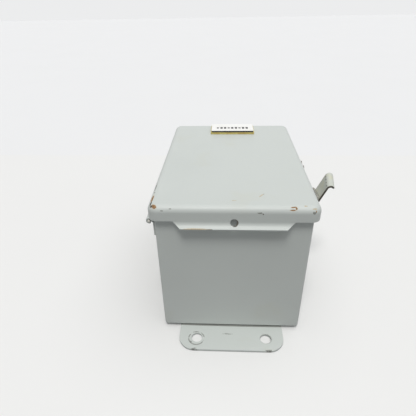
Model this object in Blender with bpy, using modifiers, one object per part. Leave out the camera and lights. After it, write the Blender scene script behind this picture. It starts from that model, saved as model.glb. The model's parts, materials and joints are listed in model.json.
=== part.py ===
"""Hinged-cover steel junction box, nominal 6 x 4 x 4 in, on its back with the cover up.

+Y runs along the box, +X from the hinge side to the latch side and +Z up through the cover.
Sub-parts are placed about the body's centre line, with z 0 under the mounting feet. One empty
carries them to the object's frame, whose origin is the bottom centre of its whole box.
"""

import math

import bmesh
import bpy
from mathutils import Matrix

MM = 0.001
INCH = 25.4 * MM
GAP = 0.2 * MM  # left between pieces that touch

# Enclosure body: 16 gauge sheet, welded, with a rolled rim round the opening
BODY_WIDTH = 4 * INCH
BODY_LENGTH = 6 * INCH
BODY_DEPTH = 4 * INCH
SHEET = 1.5 * MM
BODY_BEND = 2.0 * MM
RIM_WIDTH = 8.0 * MM

# Mounting feet, one under each end
FOOT_WIDTH = 77.0 * MM
FOOT_THICKNESS = 1.85 * MM
FOOT_REACH = 21.9 * MM
FOOT_UNDER_BODY = 16.0 * MM
FOOT_CORNER = 11.5 * MM
FOOT_HOLE_RADIUS = 3.95 * MM
FOOT_HOLE_SPACING = 2 * INCH
FOOT_HOLE_OUT = 11.4 * MM

# Cover: a shallow pan whose end flanges carry a flared trapezoid lip
COVER_OVERHANG = 3.35 * MM
COVER_TOP = 109.8 * MM
FLANGE_DEPTH = 10.3 * MM
COVER_BEND = 3.0 * MM
COVER_CORNER = 6.0 * MM
LIP_WIDTH_AT_FLANGE = 76.6 * MM
LIP_WIDTH_AT_EDGE = 66.6 * MM
LIP_LENGTH = 5.2 * MM
LIP_BEND = 2.2 * MM
LIP_FLARE = math.radians(62)
LIP_HOLE_RADIUS = 2.1 * MM

# Gasket inside the cover
GASKET_WIDTH = 9.0 * MM
GASKET_CORNER = 5.0 * MM

# Continuous hinge on the -X side
HINGE_AXIS_OUT = 3.6 * MM  # from the body's wall
HINGE_AXIS_HEIGHT = 95.8 * MM
HINGE_LENGTH = 147.4 * MM
HINGE_KNUCKLES = 11
HINGE_KNUCKLE_GAP = 0.4 * MM
KNUCKLE_RADIUS = 2.1 * MM
HINGE_BORE_RADIUS = 1.1 * MM
HINGE_PIN_RADIUS = 1.0 * MM
LEAF_THICKNESS = 1.0 * MM
LEAF_HEIGHT = 9.0 * MM
LEAF_OFFSET = 2.1 * MM  # from the axis to the nearer end of a leaf

# Latch on the +X side, centred on the box's length
LATCH_AXIS_OUT = 4.9 * MM
LATCH_AXIS_HEIGHT = 50.3 * MM
LATCH_LEAN = math.radians(24.5)  # how far the lever leans out from closed
LEVER_WIDTH = 16.0 * MM
LEVER_SHEET = 1.5 * MM
LEVER_EYE_RADIUS = 2.35 * MM  # to the middle of the sheet
LEVER_EYE_TURN = math.radians(280)
LEVER_OFFSET = 4.55 * MM
LEVER_STRAIGHT_TOP = 42.9 * MM
LEVER_CURL_RADIUS = 3.0 * MM
LEVER_CURL_TURN = math.radians(165)
LEVER_CURL_TAIL = 2.5 * MM
LEVER_CORNER = 4.0 * MM
LATCH_PIN_RADIUS = 1.5 * MM
EAR_THICKNESS = 1.5 * MM
EAR_CLEARANCE = 0.6 * MM
EAR_HEIGHT = 11.0 * MM
BRACKET_HEIGHT = 27.0 * MM
BRACKET_SHEET = 1.3 * MM
CATCH_SHEET = 1.2 * MM
CATCH_WIDTH = 14.0 * MM
CATCH_TOP = 31.4 * MM  # above the pivot, with the lever closed
CATCH_FOOT = 13.0 * MM
CATCH_TIP = 0.3 * MM
STRIKE_SHEET = 1.2 * MM
STRIKE_WIDTH = 18.0 * MM
STRIKE_TIP_OUT = 6.9 * MM
RIVET_RADIUS = 1.2 * MM
RIVET_HEAD_RADIUS = 2.2 * MM
RIVET_SPACING = 9.0 * MM
RIVET_CLEARANCE = 0.1 * MM
BRACKET_RIVET_SPACING = 19.4 * MM

# Name plate on the cover
PLATE_WIDTH = 38.4 * MM
PLATE_LENGTH = 19.4 * MM
PLATE_THICKNESS = 1.5 * MM
TAPE_THICKNESS = 1.5 * MM
TAPE_MARGIN = 0.7 * MM
PLATE_CENTRE_Y = 61.7 * MM
PLATE_CENTRE_X = 0.9 * MM

# Inside: panel on welded studs, rail and terminal blocks
PANEL_WIDTH = 73.0 * MM
PANEL_LENGTH = 124.0 * MM
PANEL_SHEET = 1.5 * MM
STUD_SPACING_X = 2.25 * INCH
STUD_SPACING_Y = 4.25 * INCH
STUD_RADIUS = 2.4 * MM
STUD_LENGTH = 17.0 * MM
COLLAR_RADIUS = 4.5 * MM
COLLAR_HEIGHT = 6.0 * MM
NUT_ACROSS_CORNERS = 9.2 * MM
NUT_HEIGHT = 4.0 * MM
RAIL_LENGTH = 112.0 * MM
RAIL_WIDTH = 35.0 * MM
RAIL_HEIGHT = 7.5 * MM
RAIL_BRIM = 5.0 * MM
RAIL_SHEET = 1.0 * MM
RAIL_SCREW_SPACING = 98.0 * MM
SCREW_RADIUS = 1.9 * MM
SCREW_HEAD_RADIUS = 3.6 * MM
TERMINALS = 8
TERMINAL_PITCH = 6.2 * MM
TERMINAL_WIDTH = 45.0 * MM
TERMINAL_HEIGHT = 36.0 * MM
END_STOP_THICKNESS = 8.0 * MM
END_PLATE_THICKNESS = 1.8 * MM

# Heights and places that follow from the sizes above
BODY_UNDERSIDE = FOOT_THICKNESS + GAP
BODY_FLOOR = BODY_UNDERSIDE + SHEET
BODY_RIM = BODY_UNDERSIDE + BODY_DEPTH
WALL_X = BODY_WIDTH / 2
COVER_WIDTH = BODY_WIDTH + 2 * COVER_OVERHANG
COVER_LENGTH = BODY_LENGTH + 2 * COVER_OVERHANG
COVER_UNDERSIDE = COVER_TOP - SHEET
FLANGE_BOTTOM = COVER_TOP - FLANGE_DEPTH
HINGE_X = -WALL_X - HINGE_AXIS_OUT
LATCH_X = WALL_X + LATCH_AXIS_OUT
COLLAR_TOP = BODY_FLOOR + GAP + COLLAR_HEIGHT
PANEL_BOTTOM = COLLAR_TOP + GAP
PANEL_TOP = PANEL_BOTTOM + PANEL_SHEET
RAIL_BOTTOM = PANEL_TOP + GAP
RAIL_TOP = RAIL_BOTTOM + RAIL_HEIGHT
CURL_CENTRE_OUT = LEVER_OFFSET + LEVER_CURL_RADIUS
CURL_CENTRE_X = (
    LATCH_X + CURL_CENTRE_OUT * math.cos(LATCH_LEAN) + LEVER_STRAIGHT_TOP * math.sin(LATCH_LEAN)
)
MOST_X = CURL_CENTRE_X + LEVER_CURL_RADIUS + LEVER_SHEET / 2
LEAST_X = HINGE_X - KNUCKLE_RADIUS
FRAME_SHIFT = -(MOST_X + LEAST_X) / 2
SIDES = (-1, 1)


def clear_scene():
    for obj in list(bpy.data.objects):
        bpy.data.objects.remove(obj, do_unlink=True)


def collection(name):
    made = bpy.data.collections.new(name)
    bpy.context.scene.collection.children.link(made)
    return made


def empty(name, parent=None, location=(0, 0, 0), rotation=(0, 0, 0)):
    made = bpy.data.objects.new(name, None)
    PARTS.objects.link(made)
    made.parent = parent
    made.location = location
    made.rotation_euler = rotation
    return made


def material(name, colour, roughness, metallic=0.0):
    made = bpy.data.materials.new(name)
    made.use_nodes = True
    shader = made.node_tree.nodes["Principled BSDF"]
    shader.inputs["Base Color"].default_value = (*colour, 1)
    shader.inputs["Roughness"].default_value = roughness
    shader.inputs["Metallic"].default_value = metallic
    return made


def place(name, data, finish, location=(0, 0, 0), rotation=(0, 0, 0), parent=None):
    """Links an object of this mesh or curve, in one finish, under the frame's empty or a pivot."""
    obj = bpy.data.objects.new(name, data)
    PARTS.objects.link(obj)
    obj.parent = parent or FRAME
    obj.location = location
    obj.rotation_euler = rotation
    if not data.materials:
        data.materials.append(finish)
    if obj.type == "MESH":
        data.shade_smooth()
        data.set_sharp_from_angle(angle=math.radians(35))
    return obj


def mesh_from(name, bm):
    mesh = bpy.data.meshes.new(name)
    bm.to_mesh(mesh)
    bm.free()
    return mesh


def circle(radius, steps=16, centre=(0, 0)):
    return [
        (
            centre[0] + radius * math.cos(2 * math.pi * i / steps),
            centre[1] + radius * math.sin(2 * math.pi * i / steps),
        )
        for i in range(steps)
    ]


def arc(centre, radius, start, end, steps):
    """Points from angle start to angle end, both ends included."""
    angles = [start + (end - start) * i / steps for i in range(steps + 1)]
    return [
        (centre[0] + radius * math.cos(a), centre[1] + radius * math.sin(a)) for a in angles
    ]


def rounded_rectangle(width, length, radius, steps=5):
    points = []
    for corner, (sx, sy) in enumerate(((1, 1), (-1, 1), (-1, -1), (1, -1))):
        centre = (sx * (width / 2 - radius), sy * (length / 2 - radius))
        start = corner * math.pi / 2
        points += arc(centre, radius, start, start + math.pi / 2, steps)
    return points


def outline_curve(name, outlines, thickness):
    """A flat curve with these closed outlines, the inner ones being holes, as thick as asked."""
    curve = bpy.data.curves.new(name, "CURVE")
    curve.dimensions = "2D"
    curve.fill_mode = "BOTH"
    curve.extrude = thickness / 2
    for outline in outlines:
        spline = curve.splines.new("POLY")
        spline.points.add(len(outline) - 1)
        spline.use_cyclic_u = True
        for point, (x, y) in zip(spline.points, outline):
            point.co = (x, y, 0, 1)
    return curve


def outline_mesh(name, outlines, thickness, matrix=None):
    """The same flat shape as a welded mesh, which can be cut and joined."""
    curve = outline_curve(name, outlines, thickness)
    holder = bpy.data.objects.new(name, curve)
    bpy.context.scene.collection.objects.link(holder)
    graph = bpy.context.evaluated_depsgraph_get()
    mesh = bpy.data.meshes.new_from_object(holder.evaluated_get(graph))
    bpy.data.objects.remove(holder)
    bm = bmesh.new()
    bm.from_mesh(mesh)
    bmesh.ops.remove_doubles(bm, verts=bm.verts, dist=0.001 * MM)
    bmesh.ops.recalc_face_normals(bm, faces=bm.faces)
    if matrix is not None:
        bmesh.ops.transform(bm, matrix=matrix, verts=bm.verts)
    bm.to_mesh(mesh)
    bm.free()
    return mesh


def joined_mesh(name, meshes):
    bm = bmesh.new()
    for mesh in meshes:
        bm.from_mesh(mesh)
    return mesh_from(name, bm)


def cylinder_mesh(name, radius, length, axis, centres, steps=16):
    """Round bars of one size along an axis, each about its centre."""
    turn = {"X": Matrix.Rotation(math.pi / 2, 4, "Y"), "Y": Matrix.Rotation(math.pi / 2, 4, "X")}
    bm = bmesh.new()
    for centre in centres:
        bmesh.ops.create_cone(
            bm,
            cap_ends=True,
            segments=steps,
            radius1=radius,
            radius2=radius,
            depth=length,
            matrix=Matrix.Translation(centre) @ turn.get(axis, Matrix.Identity(4)),
        )
    return mesh_from(name, bm)


def box_mesh(name, low, high, bevel=0.0, edges=lambda edge: True, segments=1):
    """A box between two corners, with the edges that the test picks rounded."""
    size = [h - l for l, h in zip(low, high)]
    centre = [(l + h) / 2 for l, h in zip(low, high)]
    bm = bmesh.new()
    bmesh.ops.create_cube(
        bm, size=1, matrix=Matrix.Translation(centre) @ Matrix.Diagonal((*size, 1))
    )
    if bevel:
        bmesh.ops.bevel(
            bm,
            geom=[e for e in bm.edges if edges(e)],
            offset=bevel,
            segments=segments,
            profile=0.5,
            affect="EDGES",
        )
    return mesh_from(name, bm)


def helper(name, mesh, parent=None):
    """A mesh that only cuts or joins other pieces, and isn't rendered."""
    obj = bpy.data.objects.new(name, mesh)
    CUTTERS.objects.link(obj)
    obj.parent = parent or FRAME
    obj.hide_render = True
    obj.display_type = "WIRE"
    return obj


def boolean(obj, operation, other):
    modifier = obj.modifiers.new(f"{operation.lower()} {other.name}", "BOOLEAN")
    modifier.operation = operation
    modifier.solver = "EXACT"
    modifier.object = other


def solidify(obj, thickness, offset=-1.0):
    modifier = obj.modifiers.new("sheet", "SOLIDIFY")
    modifier.thickness = thickness
    modifier.offset = offset
    modifier.use_even_offset = True


def turned(name, profile, finish, location, rotation=(0, 0, 0), parent=None, steps=16):
    """A solid of revolution about local Z, from a profile of (radius, height), top to bottom."""
    bm = bmesh.new()
    verts = [bm.verts.new((r, 0, z)) for r, z in profile]
    for a, b in zip(verts, verts[1:]):
        bm.edges.new((a, b))
    obj = place(name, mesh_from(name, bm), finish, location, rotation, parent)
    modifier = obj.modifiers.new("turn", "SCREW")
    modifier.axis = "Z"
    modifier.steps = modifier.render_steps = steps
    modifier.use_merge_vertices = True
    modifier.merge_threshold = 0.00001
    modifier.use_smooth_shade = True


def rivet(name, finish, centre, grip, parent=None):
    """A domed rivet whose head's seat is at its local z 0, its shank running down through the grip."""
    head = RIVET_HEAD_RADIUS
    tail = 1.7 * MM
    profile = [
        (0, 0.9 * MM),
        (head * 0.6, 0.7 * MM),
        (head, 0.0),
        (RIVET_RADIUS, 0.0),
        (RIVET_RADIUS, -grip),
        (tail, -grip),
        (tail * 0.8, -grip - 0.6 * MM),
        (0, -grip - 0.6 * MM),
    ]
    turned(name, profile, finish, centre, (0, math.pi / 2, 0), parent, steps=12)


def build_body(paint):
    """Five-sided box with a rim rolled inwards round its opening."""
    bm = bmesh.new()
    size = Matrix.Diagonal((BODY_WIDTH, BODY_LENGTH, BODY_DEPTH, 1))
    bmesh.ops.create_cube(bm, size=1, matrix=size)
    bmesh.ops.bevel(
        bm, geom=bm.edges[:], offset=BODY_BEND, segments=2, profile=0.5, affect="EDGES"
    )
    top = max(bm.faces, key=lambda face: face.calc_center_median().z)
    bmesh.ops.inset_region(bm, faces=[top], thickness=RIM_WIDTH - BODY_BEND)
    bmesh.ops.delete(bm, geom=[top], context="FACES")
    shell = place(
        "body_shell", mesh_from("body_shell", bm), paint, (0, 0, BODY_UNDERSIDE + BODY_DEPTH / 2)
    )
    solidify(shell, SHEET)
    places = bracket_rivet_places(WALL_X)
    holes = cylinder_mesh("holes", RIVET_RADIUS + RIVET_CLEARANCE, 12 * MM, "X", places, 12)
    boolean(shell, "DIFFERENCE", helper("bracket_rivet_holes", holes))


def bracket_rivet_places(x):
    height = BRACKET_RIVET_SPACING / 2
    return [(x, 0, LATCH_AXIS_HEIGHT + up * height) for up in SIDES]


def foot_outline():
    """A strap whose free corners are round. Its local +Y points away from the box, from the wall."""
    half = FOOT_WIDTH / 2
    points = [(-half, -FOOT_UNDER_BODY), (half, -FOOT_UNDER_BODY)]
    points += arc((half - FOOT_CORNER, FOOT_REACH - FOOT_CORNER), FOOT_CORNER, 0, math.pi / 2, 7)
    points += arc(
        (FOOT_CORNER - half, FOOT_REACH - FOOT_CORNER), FOOT_CORNER, math.pi / 2, math.pi, 7
    )
    return points


def build_feet(paint):
    holes = [
        circle(FOOT_HOLE_RADIUS, 20, (side * FOOT_HOLE_SPACING / 2, FOOT_HOLE_OUT))
        for side in SIDES
    ]
    curve = outline_curve("mounting_foot", [foot_outline(), *holes], FOOT_THICKNESS)
    for name, side, turn in (("foot_front", -1, math.pi), ("foot_rear", 1, 0)):
        place(
            name,
            curve,
            paint,
            (0, side * BODY_LENGTH / 2, FOOT_THICKNESS / 2),
            (0, 0, turn),
        )


def flare_lip(bm, side):
    """Extrudes the middle of an end flange's edge down and out, narrowing as it goes."""
    end = side * COVER_LENGTH / 2
    half = LIP_WIDTH_AT_FLANGE / 2
    edges = [
        e
        for e in bm.edges
        if e.is_boundary
        and all(abs(v.co.y - end) < GAP and abs(v.co.x) < half + GAP for v in e.verts)
    ]
    bends = 4
    steps = [(LIP_FLARE * (i + 0.5) / bends, LIP_BEND * LIP_FLARE / bends) for i in range(bends)]
    steps.append((LIP_FLARE, LIP_LENGTH - LIP_BEND * LIP_FLARE))
    narrowing = (LIP_WIDTH_AT_FLANGE - LIP_WIDTH_AT_EDGE) / LIP_WIDTH_AT_FLANGE / LIP_LENGTH
    width = 1.0
    for heading, length in steps:
        made = bmesh.ops.extrude_edge_only(bm, edges=edges)["geom"]
        verts = [g for g in made if isinstance(g, bmesh.types.BMVert)]
        edges = [
            g
            for g in made
            if isinstance(g, bmesh.types.BMEdge) and all(v in verts for v in g.verts)
        ]
        narrower = width - narrowing * length
        for vert in verts:
            vert.co.x *= narrower / width
            vert.co.y += side * length * math.sin(heading)
            vert.co.z -= length * math.cos(heading)
        width = narrower


def build_cover(paint, parent):
    bm = bmesh.new()
    size = Matrix.Diagonal((COVER_WIDTH, COVER_LENGTH, FLANGE_DEPTH, 1))
    bmesh.ops.create_cube(
        bm, size=1, matrix=Matrix.Translation((0, 0, COVER_TOP - FLANGE_DEPTH / 2)) @ size
    )
    corners = [e for e in bm.edges if abs(e.verts[0].co.z - e.verts[1].co.z) > FLANGE_DEPTH / 2]
    bmesh.ops.bevel(
        bm, geom=corners, offset=COVER_CORNER, segments=5, profile=0.5, affect="EDGES"
    )
    rim = [e for e in bm.edges if all(v.co.z > COVER_TOP - GAP for v in e.verts)]
    bmesh.ops.bevel(bm, geom=rim, offset=COVER_BEND, segments=3, profile=0.5, affect="EDGES")
    bottom = min(bm.faces, key=lambda face: face.calc_center_median().z)
    bmesh.ops.delete(bm, geom=[bottom], context="FACES")
    for x in (-LIP_WIDTH_AT_FLANGE / 2, 0, LIP_WIDTH_AT_FLANGE / 2):
        everything = bm.verts[:] + bm.edges[:] + bm.faces[:]
        bmesh.ops.bisect_plane(bm, geom=everything, plane_co=(x, 0, 0), plane_no=(1, 0, 0))
    for side in SIDES:
        flare_lip(bm, side)
    bmesh.ops.translate(bm, vec=(-HINGE_X, 0, -HINGE_AXIS_HEIGHT), verts=bm.verts)
    cover = place("cover", mesh_from("cover", bm), paint, parent=parent)
    solidify(cover, SHEET)
    tilt = LIP_FLARE / 2
    bars = []
    for side in SIDES:
        bar = cylinder_mesh("bar", LIP_HOLE_RADIUS, 8 * MM, "Y", [(0, 0, 0)], 14)
        drop = FLANGE_BOTTOM - HINGE_AXIS_HEIGHT - 0.5 * MM
        at = Matrix.Translation((-HINGE_X, side * COVER_LENGTH / 2, drop))
        bar.transform(at @ Matrix.Rotation(side * tilt, 4, "X"))
        bars.append(bar)
    places = [(WALL_X - HINGE_X, y, z) for y, z in strike_rivet_places()]
    bars.append(cylinder_mesh("bars", RIVET_RADIUS + RIVET_CLEARANCE, 20 * MM, "X", places, 12))
    boolean(cover, "DIFFERENCE", helper("cover_holes", joined_mesh("cover_holes", bars), parent))


def build_gasket(rubber, parent):
    width = BODY_WIDTH - 1.0 * MM
    length = BODY_LENGTH - 1.0 * MM
    inner = rounded_rectangle(width - 2 * GASKET_WIDTH, length - 2 * GASKET_WIDTH, GASKET_CORNER, 3)
    low, high = BODY_RIM + GAP, COVER_UNDERSIDE - GAP
    outer = rounded_rectangle(width, length, GASKET_CORNER, 3)
    curve = outline_curve("gasket", [outer, inner], high - low)
    at = (-HINGE_X, 0, (low + high) / 2 - HINGE_AXIS_HEIGHT)
    place("gasket", curve, rubber, at, parent=parent)


def hinge_leaf(name, up, first, wall_gap, paint, parent, origin):
    """A leaf with every second knuckle. up is 1 for the cover's leaf and -1 for the body's."""
    near = HINGE_AXIS_OUT - wall_gap - LEAF_THICKNESS
    far = HINGE_AXIS_OUT - wall_gap
    half = HINGE_LENGTH / 2
    pitch = HINGE_LENGTH / HINGE_KNUCKLES
    low, high = sorted((up * LEAF_OFFSET, up * (LEAF_OFFSET + LEAF_HEIGHT)))
    leaf = place(
        name, box_mesh(name, (near, -half, low), (far, half, high)), paint, origin, parent=parent
    )
    web_top = LEAF_OFFSET + LEAF_THICKNESS
    outline = arc((0, 0), KNUCKLE_RADIUS, math.radians(75), math.radians(340), 13)
    outline += [(far - 0.01 * MM, web_top * 0.45), (far - 0.01 * MM, web_top)]
    outline += [(near + 0.01 * MM, web_top)]
    bore = circle(HINGE_BORE_RADIUS, 12)
    knuckles = []
    for i in range(first, HINGE_KNUCKLES, 2):
        centre = -half + (i + 0.5) * pitch
        stand = Matrix.Translation((0, centre, 0)) @ Matrix.Rotation(math.pi / 2, 4, "X")
        knuckle = outline_mesh(
            "knuckle",
            [[(x, up * z) for x, z in outline], bore],
            pitch - HINGE_KNUCKLE_GAP,
            stand,
        )
        knuckles.append(knuckle)
    joiner = helper(f"{name}_knuckles", joined_mesh(name, knuckles), parent)
    joiner.location = origin
    boolean(leaf, "UNION", joiner)


def build_hinge(paint, steel, cover_pivot):
    axis = (HINGE_X, 0, HINGE_AXIS_HEIGHT)
    hinge_leaf("hinge_leaf_body", -1, 0, GAP, paint, None, axis)
    hinge_leaf("hinge_leaf_cover", 1, 1, 0.65 * MM, paint, cover_pivot, (0, 0, 0))
    half = HINGE_LENGTH / 2 + 0.4 * MM
    turned(
        "hinge_pin",
        [(0, half), (HINGE_PIN_RADIUS, half), (HINGE_PIN_RADIUS, -half), (0, -half)],
        steel,
        axis,
        (math.pi / 2, 0, 0),
        steps=12,
    )


def lever_path():
    """The lever's middle line as (out, up) from its pivot, closed: rolled eye, offset, strap, curl."""
    path = arc((0, 0), LEVER_EYE_RADIUS, -LEVER_EYE_TURN, 0, 14)
    path.append((LEVER_EYE_RADIUS + 0.1 * MM, 1.6 * MM))
    path.append((LEVER_OFFSET - 0.3 * MM, 6.0 * MM))
    path.append((LEVER_OFFSET, 7.6 * MM))
    centre = (CURL_CENTRE_OUT, LEVER_STRAIGHT_TOP)
    path += arc(centre, LEVER_CURL_RADIUS, math.pi, math.pi - LEVER_CURL_TURN, 9)
    heading = math.pi / 2 - LEVER_CURL_TURN
    x, z = path[-1]
    for share in (0.5, 1.0):
        tail = share * LEVER_CURL_TAIL
        path.append((x + tail * math.cos(heading), z + tail * math.sin(heading)))
    return path


def half_width_at(remaining):
    """Half the strap's width this far from its free end, whose corners are round."""
    inside = max(0.0, LEVER_CORNER - remaining)
    return LEVER_WIDTH / 2 - LEVER_CORNER + math.sqrt(max(0.0, LEVER_CORNER**2 - inside**2))


def build_lever(paint, pivot):
    path = lever_path()
    lengths = [math.dist(a, b) for a, b in zip(path, path[1:])] + [0.0]
    bm = bmesh.new()
    rows = []
    for i, (x, z) in enumerate(path):
        half = half_width_at(sum(lengths[i:]) + 0.6 * MM)
        rows.append([bm.verts.new((x, side * half, z)) for side in SIDES])
    for (a, b), (c, d) in zip(rows, rows[1:]):
        bm.faces.new((a, b, d, c))
    lever = place("latch_lever", mesh_from("latch_lever", bm), paint, parent=pivot)
    solidify(lever, LEVER_SHEET, 0.0)
    boolean(lever, "DIFFERENCE", helper("lever_holes", catch_rivet_holes(), pivot))


def catch_rivet_places():
    height = (CATCH_FOOT + CATCH_TOP - CATCH_SHEET) / 2
    return [(LEVER_OFFSET, side * 4 * MM, height) for side in SIDES]


def catch_rivet_holes():
    radius = RIVET_RADIUS + RIVET_CLEARANCE
    return cylinder_mesh("holes", radius, 10 * MM, "X", catch_rivet_places(), 12)


def build_catch(steel, pivot):
    """An angle riveted to the lever's inner face; its shelf hooks over the strike."""
    back = LEVER_OFFSET - LEVER_SHEET / 2 - GAP
    front = back - CATCH_SHEET
    outline = [
        (back, CATCH_FOOT),
        (back, CATCH_TOP),
        (CATCH_TIP, CATCH_TOP),
        (CATCH_TIP, CATCH_TOP - CATCH_SHEET),
        (front, CATCH_TOP - CATCH_SHEET),
        (front, CATCH_FOOT),
    ]
    stand = Matrix.Rotation(math.pi / 2, 4, "X")
    mesh = outline_mesh("latch_catch", [outline], CATCH_WIDTH, stand)
    catch = place("latch_catch", mesh, steel, parent=pivot)
    boolean(catch, "DIFFERENCE", helper("catch_holes", catch_rivet_holes(), pivot))
    seat = LEVER_OFFSET + LEVER_SHEET / 2 + GAP / 2
    grip = seat - front + GAP / 2
    for i, (_, y, z) in enumerate(catch_rivet_places(), 1):
        rivet(f"catch_rivet_{i}", steel, (seat, y, z), grip, pivot)


def build_bracket(paint, steel):
    """Base plate on the wall with two ears, and the pin that the lever turns on."""
    inner = LEVER_WIDTH / 2 + EAR_CLEARANCE
    outer = inner + EAR_THICKNESS
    base_in = WALL_X + GAP
    base_out = base_in + BRACKET_SHEET
    tip = LATCH_X + 4.2 * MM
    z = LATCH_AXIS_HEIGHT
    base = box_mesh(
        "latch_bracket",
        (base_in, -outer, z - BRACKET_HEIGHT / 2),
        (base_out, outer, z + BRACKET_HEIGHT / 2),
        3 * MM,
        lambda e: abs(e.verts[0].co.x - e.verts[1].co.x) > GAP,
        3,
    )
    ears = [
        box_mesh(
            "ear",
            (base_in + GAP, min(side * inner, side * outer), z - EAR_HEIGHT / 2),
            (tip, max(side * inner, side * outer), z + EAR_HEIGHT / 2),
            3.6 * MM,
            lambda e: all(v.co.x > LATCH_X for v in e.verts)
            and abs(e.verts[0].co.y - e.verts[1].co.y) > GAP,
            4,
        )
        for side in SIDES
    ]
    bracket = place("latch_bracket", base, paint)
    boolean(bracket, "UNION", helper("bracket_ears", joined_mesh("ears", ears)))
    rivets = bracket_rivet_places(base_out)
    pin_radius = LATCH_PIN_RADIUS + RIVET_CLEARANCE
    rivet_radius = RIVET_RADIUS + RIVET_CLEARANCE
    pin_hole = cylinder_mesh("pin_hole", pin_radius, 4 * outer, "Y", [(LATCH_X, 0, z)])
    rivet_holes = cylinder_mesh("rivet_holes", rivet_radius, 6 * MM, "X", rivets, 12)
    holes = joined_mesh("bracket_holes", [pin_hole, rivet_holes])
    boolean(bracket, "DIFFERENCE", helper("bracket_holes", holes))
    for i, (x, y, height) in enumerate(rivets, 1):
        grip = x - WALL_X + SHEET + GAP
        rivet(f"bracket_rivet_{i}", steel, (x + GAP / 2, y, height), grip)
    end = outer + GAP
    head = 2.5 * MM
    profile = [
        (0, end + 1.0 * MM),
        (head * 0.7, end + 0.9 * MM),
        (head, end + 0.3 * MM),
        (head, end),
        (LATCH_PIN_RADIUS, end),
        (LATCH_PIN_RADIUS, -end),
        (head * 0.85, -end),
        (head * 0.7, -end - 0.7 * MM),
        (0, -end - 0.7 * MM),
    ]
    turned("latch_pin", profile, steel, (LATCH_X, 0, z), (math.pi / 2, 0, 0))


def strike_rivet_places():
    """(y, height above the hinge's axis) of the rivets that hold the strike to the cover's flange."""
    height = FLANGE_BOTTOM + 2.3 * MM - HINGE_AXIS_HEIGHT
    return [(side * RIVET_SPACING / 2, height) for side in SIDES]


def build_strike(steel, cover_pivot):
    """A plate hung from the cover's flange, turned out at its foot for the latch's catch."""
    back = COVER_WIDTH / 2 + GAP - HINGE_X
    face = back + STRIKE_SHEET
    tip = WALL_X + STRIKE_TIP_OUT - HINGE_X
    ledge = LATCH_AXIS_HEIGHT + CATCH_TOP - CATCH_SHEET - 0.35 * MM - HINGE_AXIS_HEIGHT
    top = FLANGE_BOTTOM + 4.4 * MM - HINGE_AXIS_HEIGHT
    outline = [
        (back, top),
        (back, ledge - STRIKE_SHEET),
        (tip, ledge - STRIKE_SHEET),
        (tip, ledge),
        (face, ledge),
        (face, top),
    ]
    stand = Matrix.Rotation(math.pi / 2, 4, "X")
    mesh = outline_mesh("strike_plate", [outline], STRIKE_WIDTH, stand)
    strike = place("strike_plate", mesh, steel, parent=cover_pivot)
    places = [(face, y, z) for y, z in strike_rivet_places()]
    holes = cylinder_mesh("strike_holes", RIVET_RADIUS + RIVET_CLEARANCE, 8 * MM, "X", places, 12)
    boolean(strike, "DIFFERENCE", helper("strike_holes", holes, cover_pivot))
    grip = STRIKE_SHEET + SHEET + 2 * GAP
    for i, (x, y, z) in enumerate(places, 1):
        rivet(f"strike_rivet_{i}", steel, (x + GAP / 2, y, z), grip, cover_pivot)


def build_label(plastic, adhesive, cover_pivot):
    """A two-colour engraving plate on thick mounting tape, near the cover's far end."""
    centre_x = PLATE_CENTRE_X - HINGE_X
    low = COVER_TOP + GAP / 2 - HINGE_AXIS_HEIGHT
    for name, thickness, margin, finish in (
        ("label_tape", TAPE_THICKNESS, TAPE_MARGIN, adhesive),
        ("label_plate", PLATE_THICKNESS, 0.0, plastic),
    ):
        width, length = PLATE_WIDTH + 2 * margin, PLATE_LENGTH + 2 * margin
        curve = outline_curve(name, [rounded_rectangle(width, length, 0.8 * MM, 2)], thickness)
        at = (centre_x, PLATE_CENTRE_Y, low + thickness / 2)
        place(name, curve, finish, at, parent=cover_pivot)
        low += thickness + GAP / 2


def build_panel(galvanised, steel):
    """Sub-panel on four welded studs with collars, held by nuts, and its bonding screw."""
    studs = [(sx * STUD_SPACING_X / 2, sy * STUD_SPACING_Y / 2) for sx in SIDES for sy in SIDES]
    ground = (PANEL_WIDTH / 2 - 6 * MM, 0)
    holes = [circle(STUD_RADIUS + 0.4 * MM, 12, at) for at in studs]
    screws = [(0, side * RAIL_SCREW_SPACING / 2) for side in SIDES]
    holes += [circle(SCREW_RADIUS + 0.2 * MM, 12, at) for at in (*screws, ground)]
    outline = rounded_rectangle(PANEL_WIDTH, PANEL_LENGTH, 3 * MM, 2)
    curve = outline_curve("sub_panel", [outline, *holes], PANEL_SHEET)
    place("sub_panel", curve, galvanised, (0, 0, (PANEL_BOTTOM + PANEL_TOP) / 2))
    profile = [
        (0, STUD_LENGTH),
        (STUD_RADIUS * 0.8, STUD_LENGTH),
        (STUD_RADIUS, STUD_LENGTH - 0.6 * MM),
        (STUD_RADIUS, COLLAR_HEIGHT),
        (COLLAR_RADIUS, COLLAR_HEIGHT),
        (COLLAR_RADIUS, 0),
        (0, 0),
    ]
    nut_turn = outline_curve(
        "panel_nut",
        [circle(NUT_ACROSS_CORNERS / 2, 6), circle(STUD_RADIUS + 0.15 * MM, 12)],
        NUT_HEIGHT,
    )
    for i, (x, y) in enumerate(studs, 1):
        turned(f"panel_stud_{i}", profile, steel, (x, y, BODY_FLOOR + GAP), steps=12)
        place(f"panel_nut_{i}", nut_turn, steel, (x, y, PANEL_TOP + GAP + NUT_HEIGHT / 2))
    screw("ground_screw", GREEN, (*ground, PANEL_TOP + GAP), PANEL_SHEET + 2.5 * MM)


def screw(name, finish, seat, reach):
    """A pan-head screw whose head rests at seat and whose shank reaches down."""
    head = SCREW_HEAD_RADIUS
    profile = [
        (0, 2.2 * MM),
        (head * 0.75, 2.0 * MM),
        (head, 1.0 * MM),
        (head, 0),
        (SCREW_RADIUS, 0),
        (SCREW_RADIUS, -reach),
        (0, -reach),
    ]
    turned(name, profile, finish, seat, steps=12)


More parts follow.
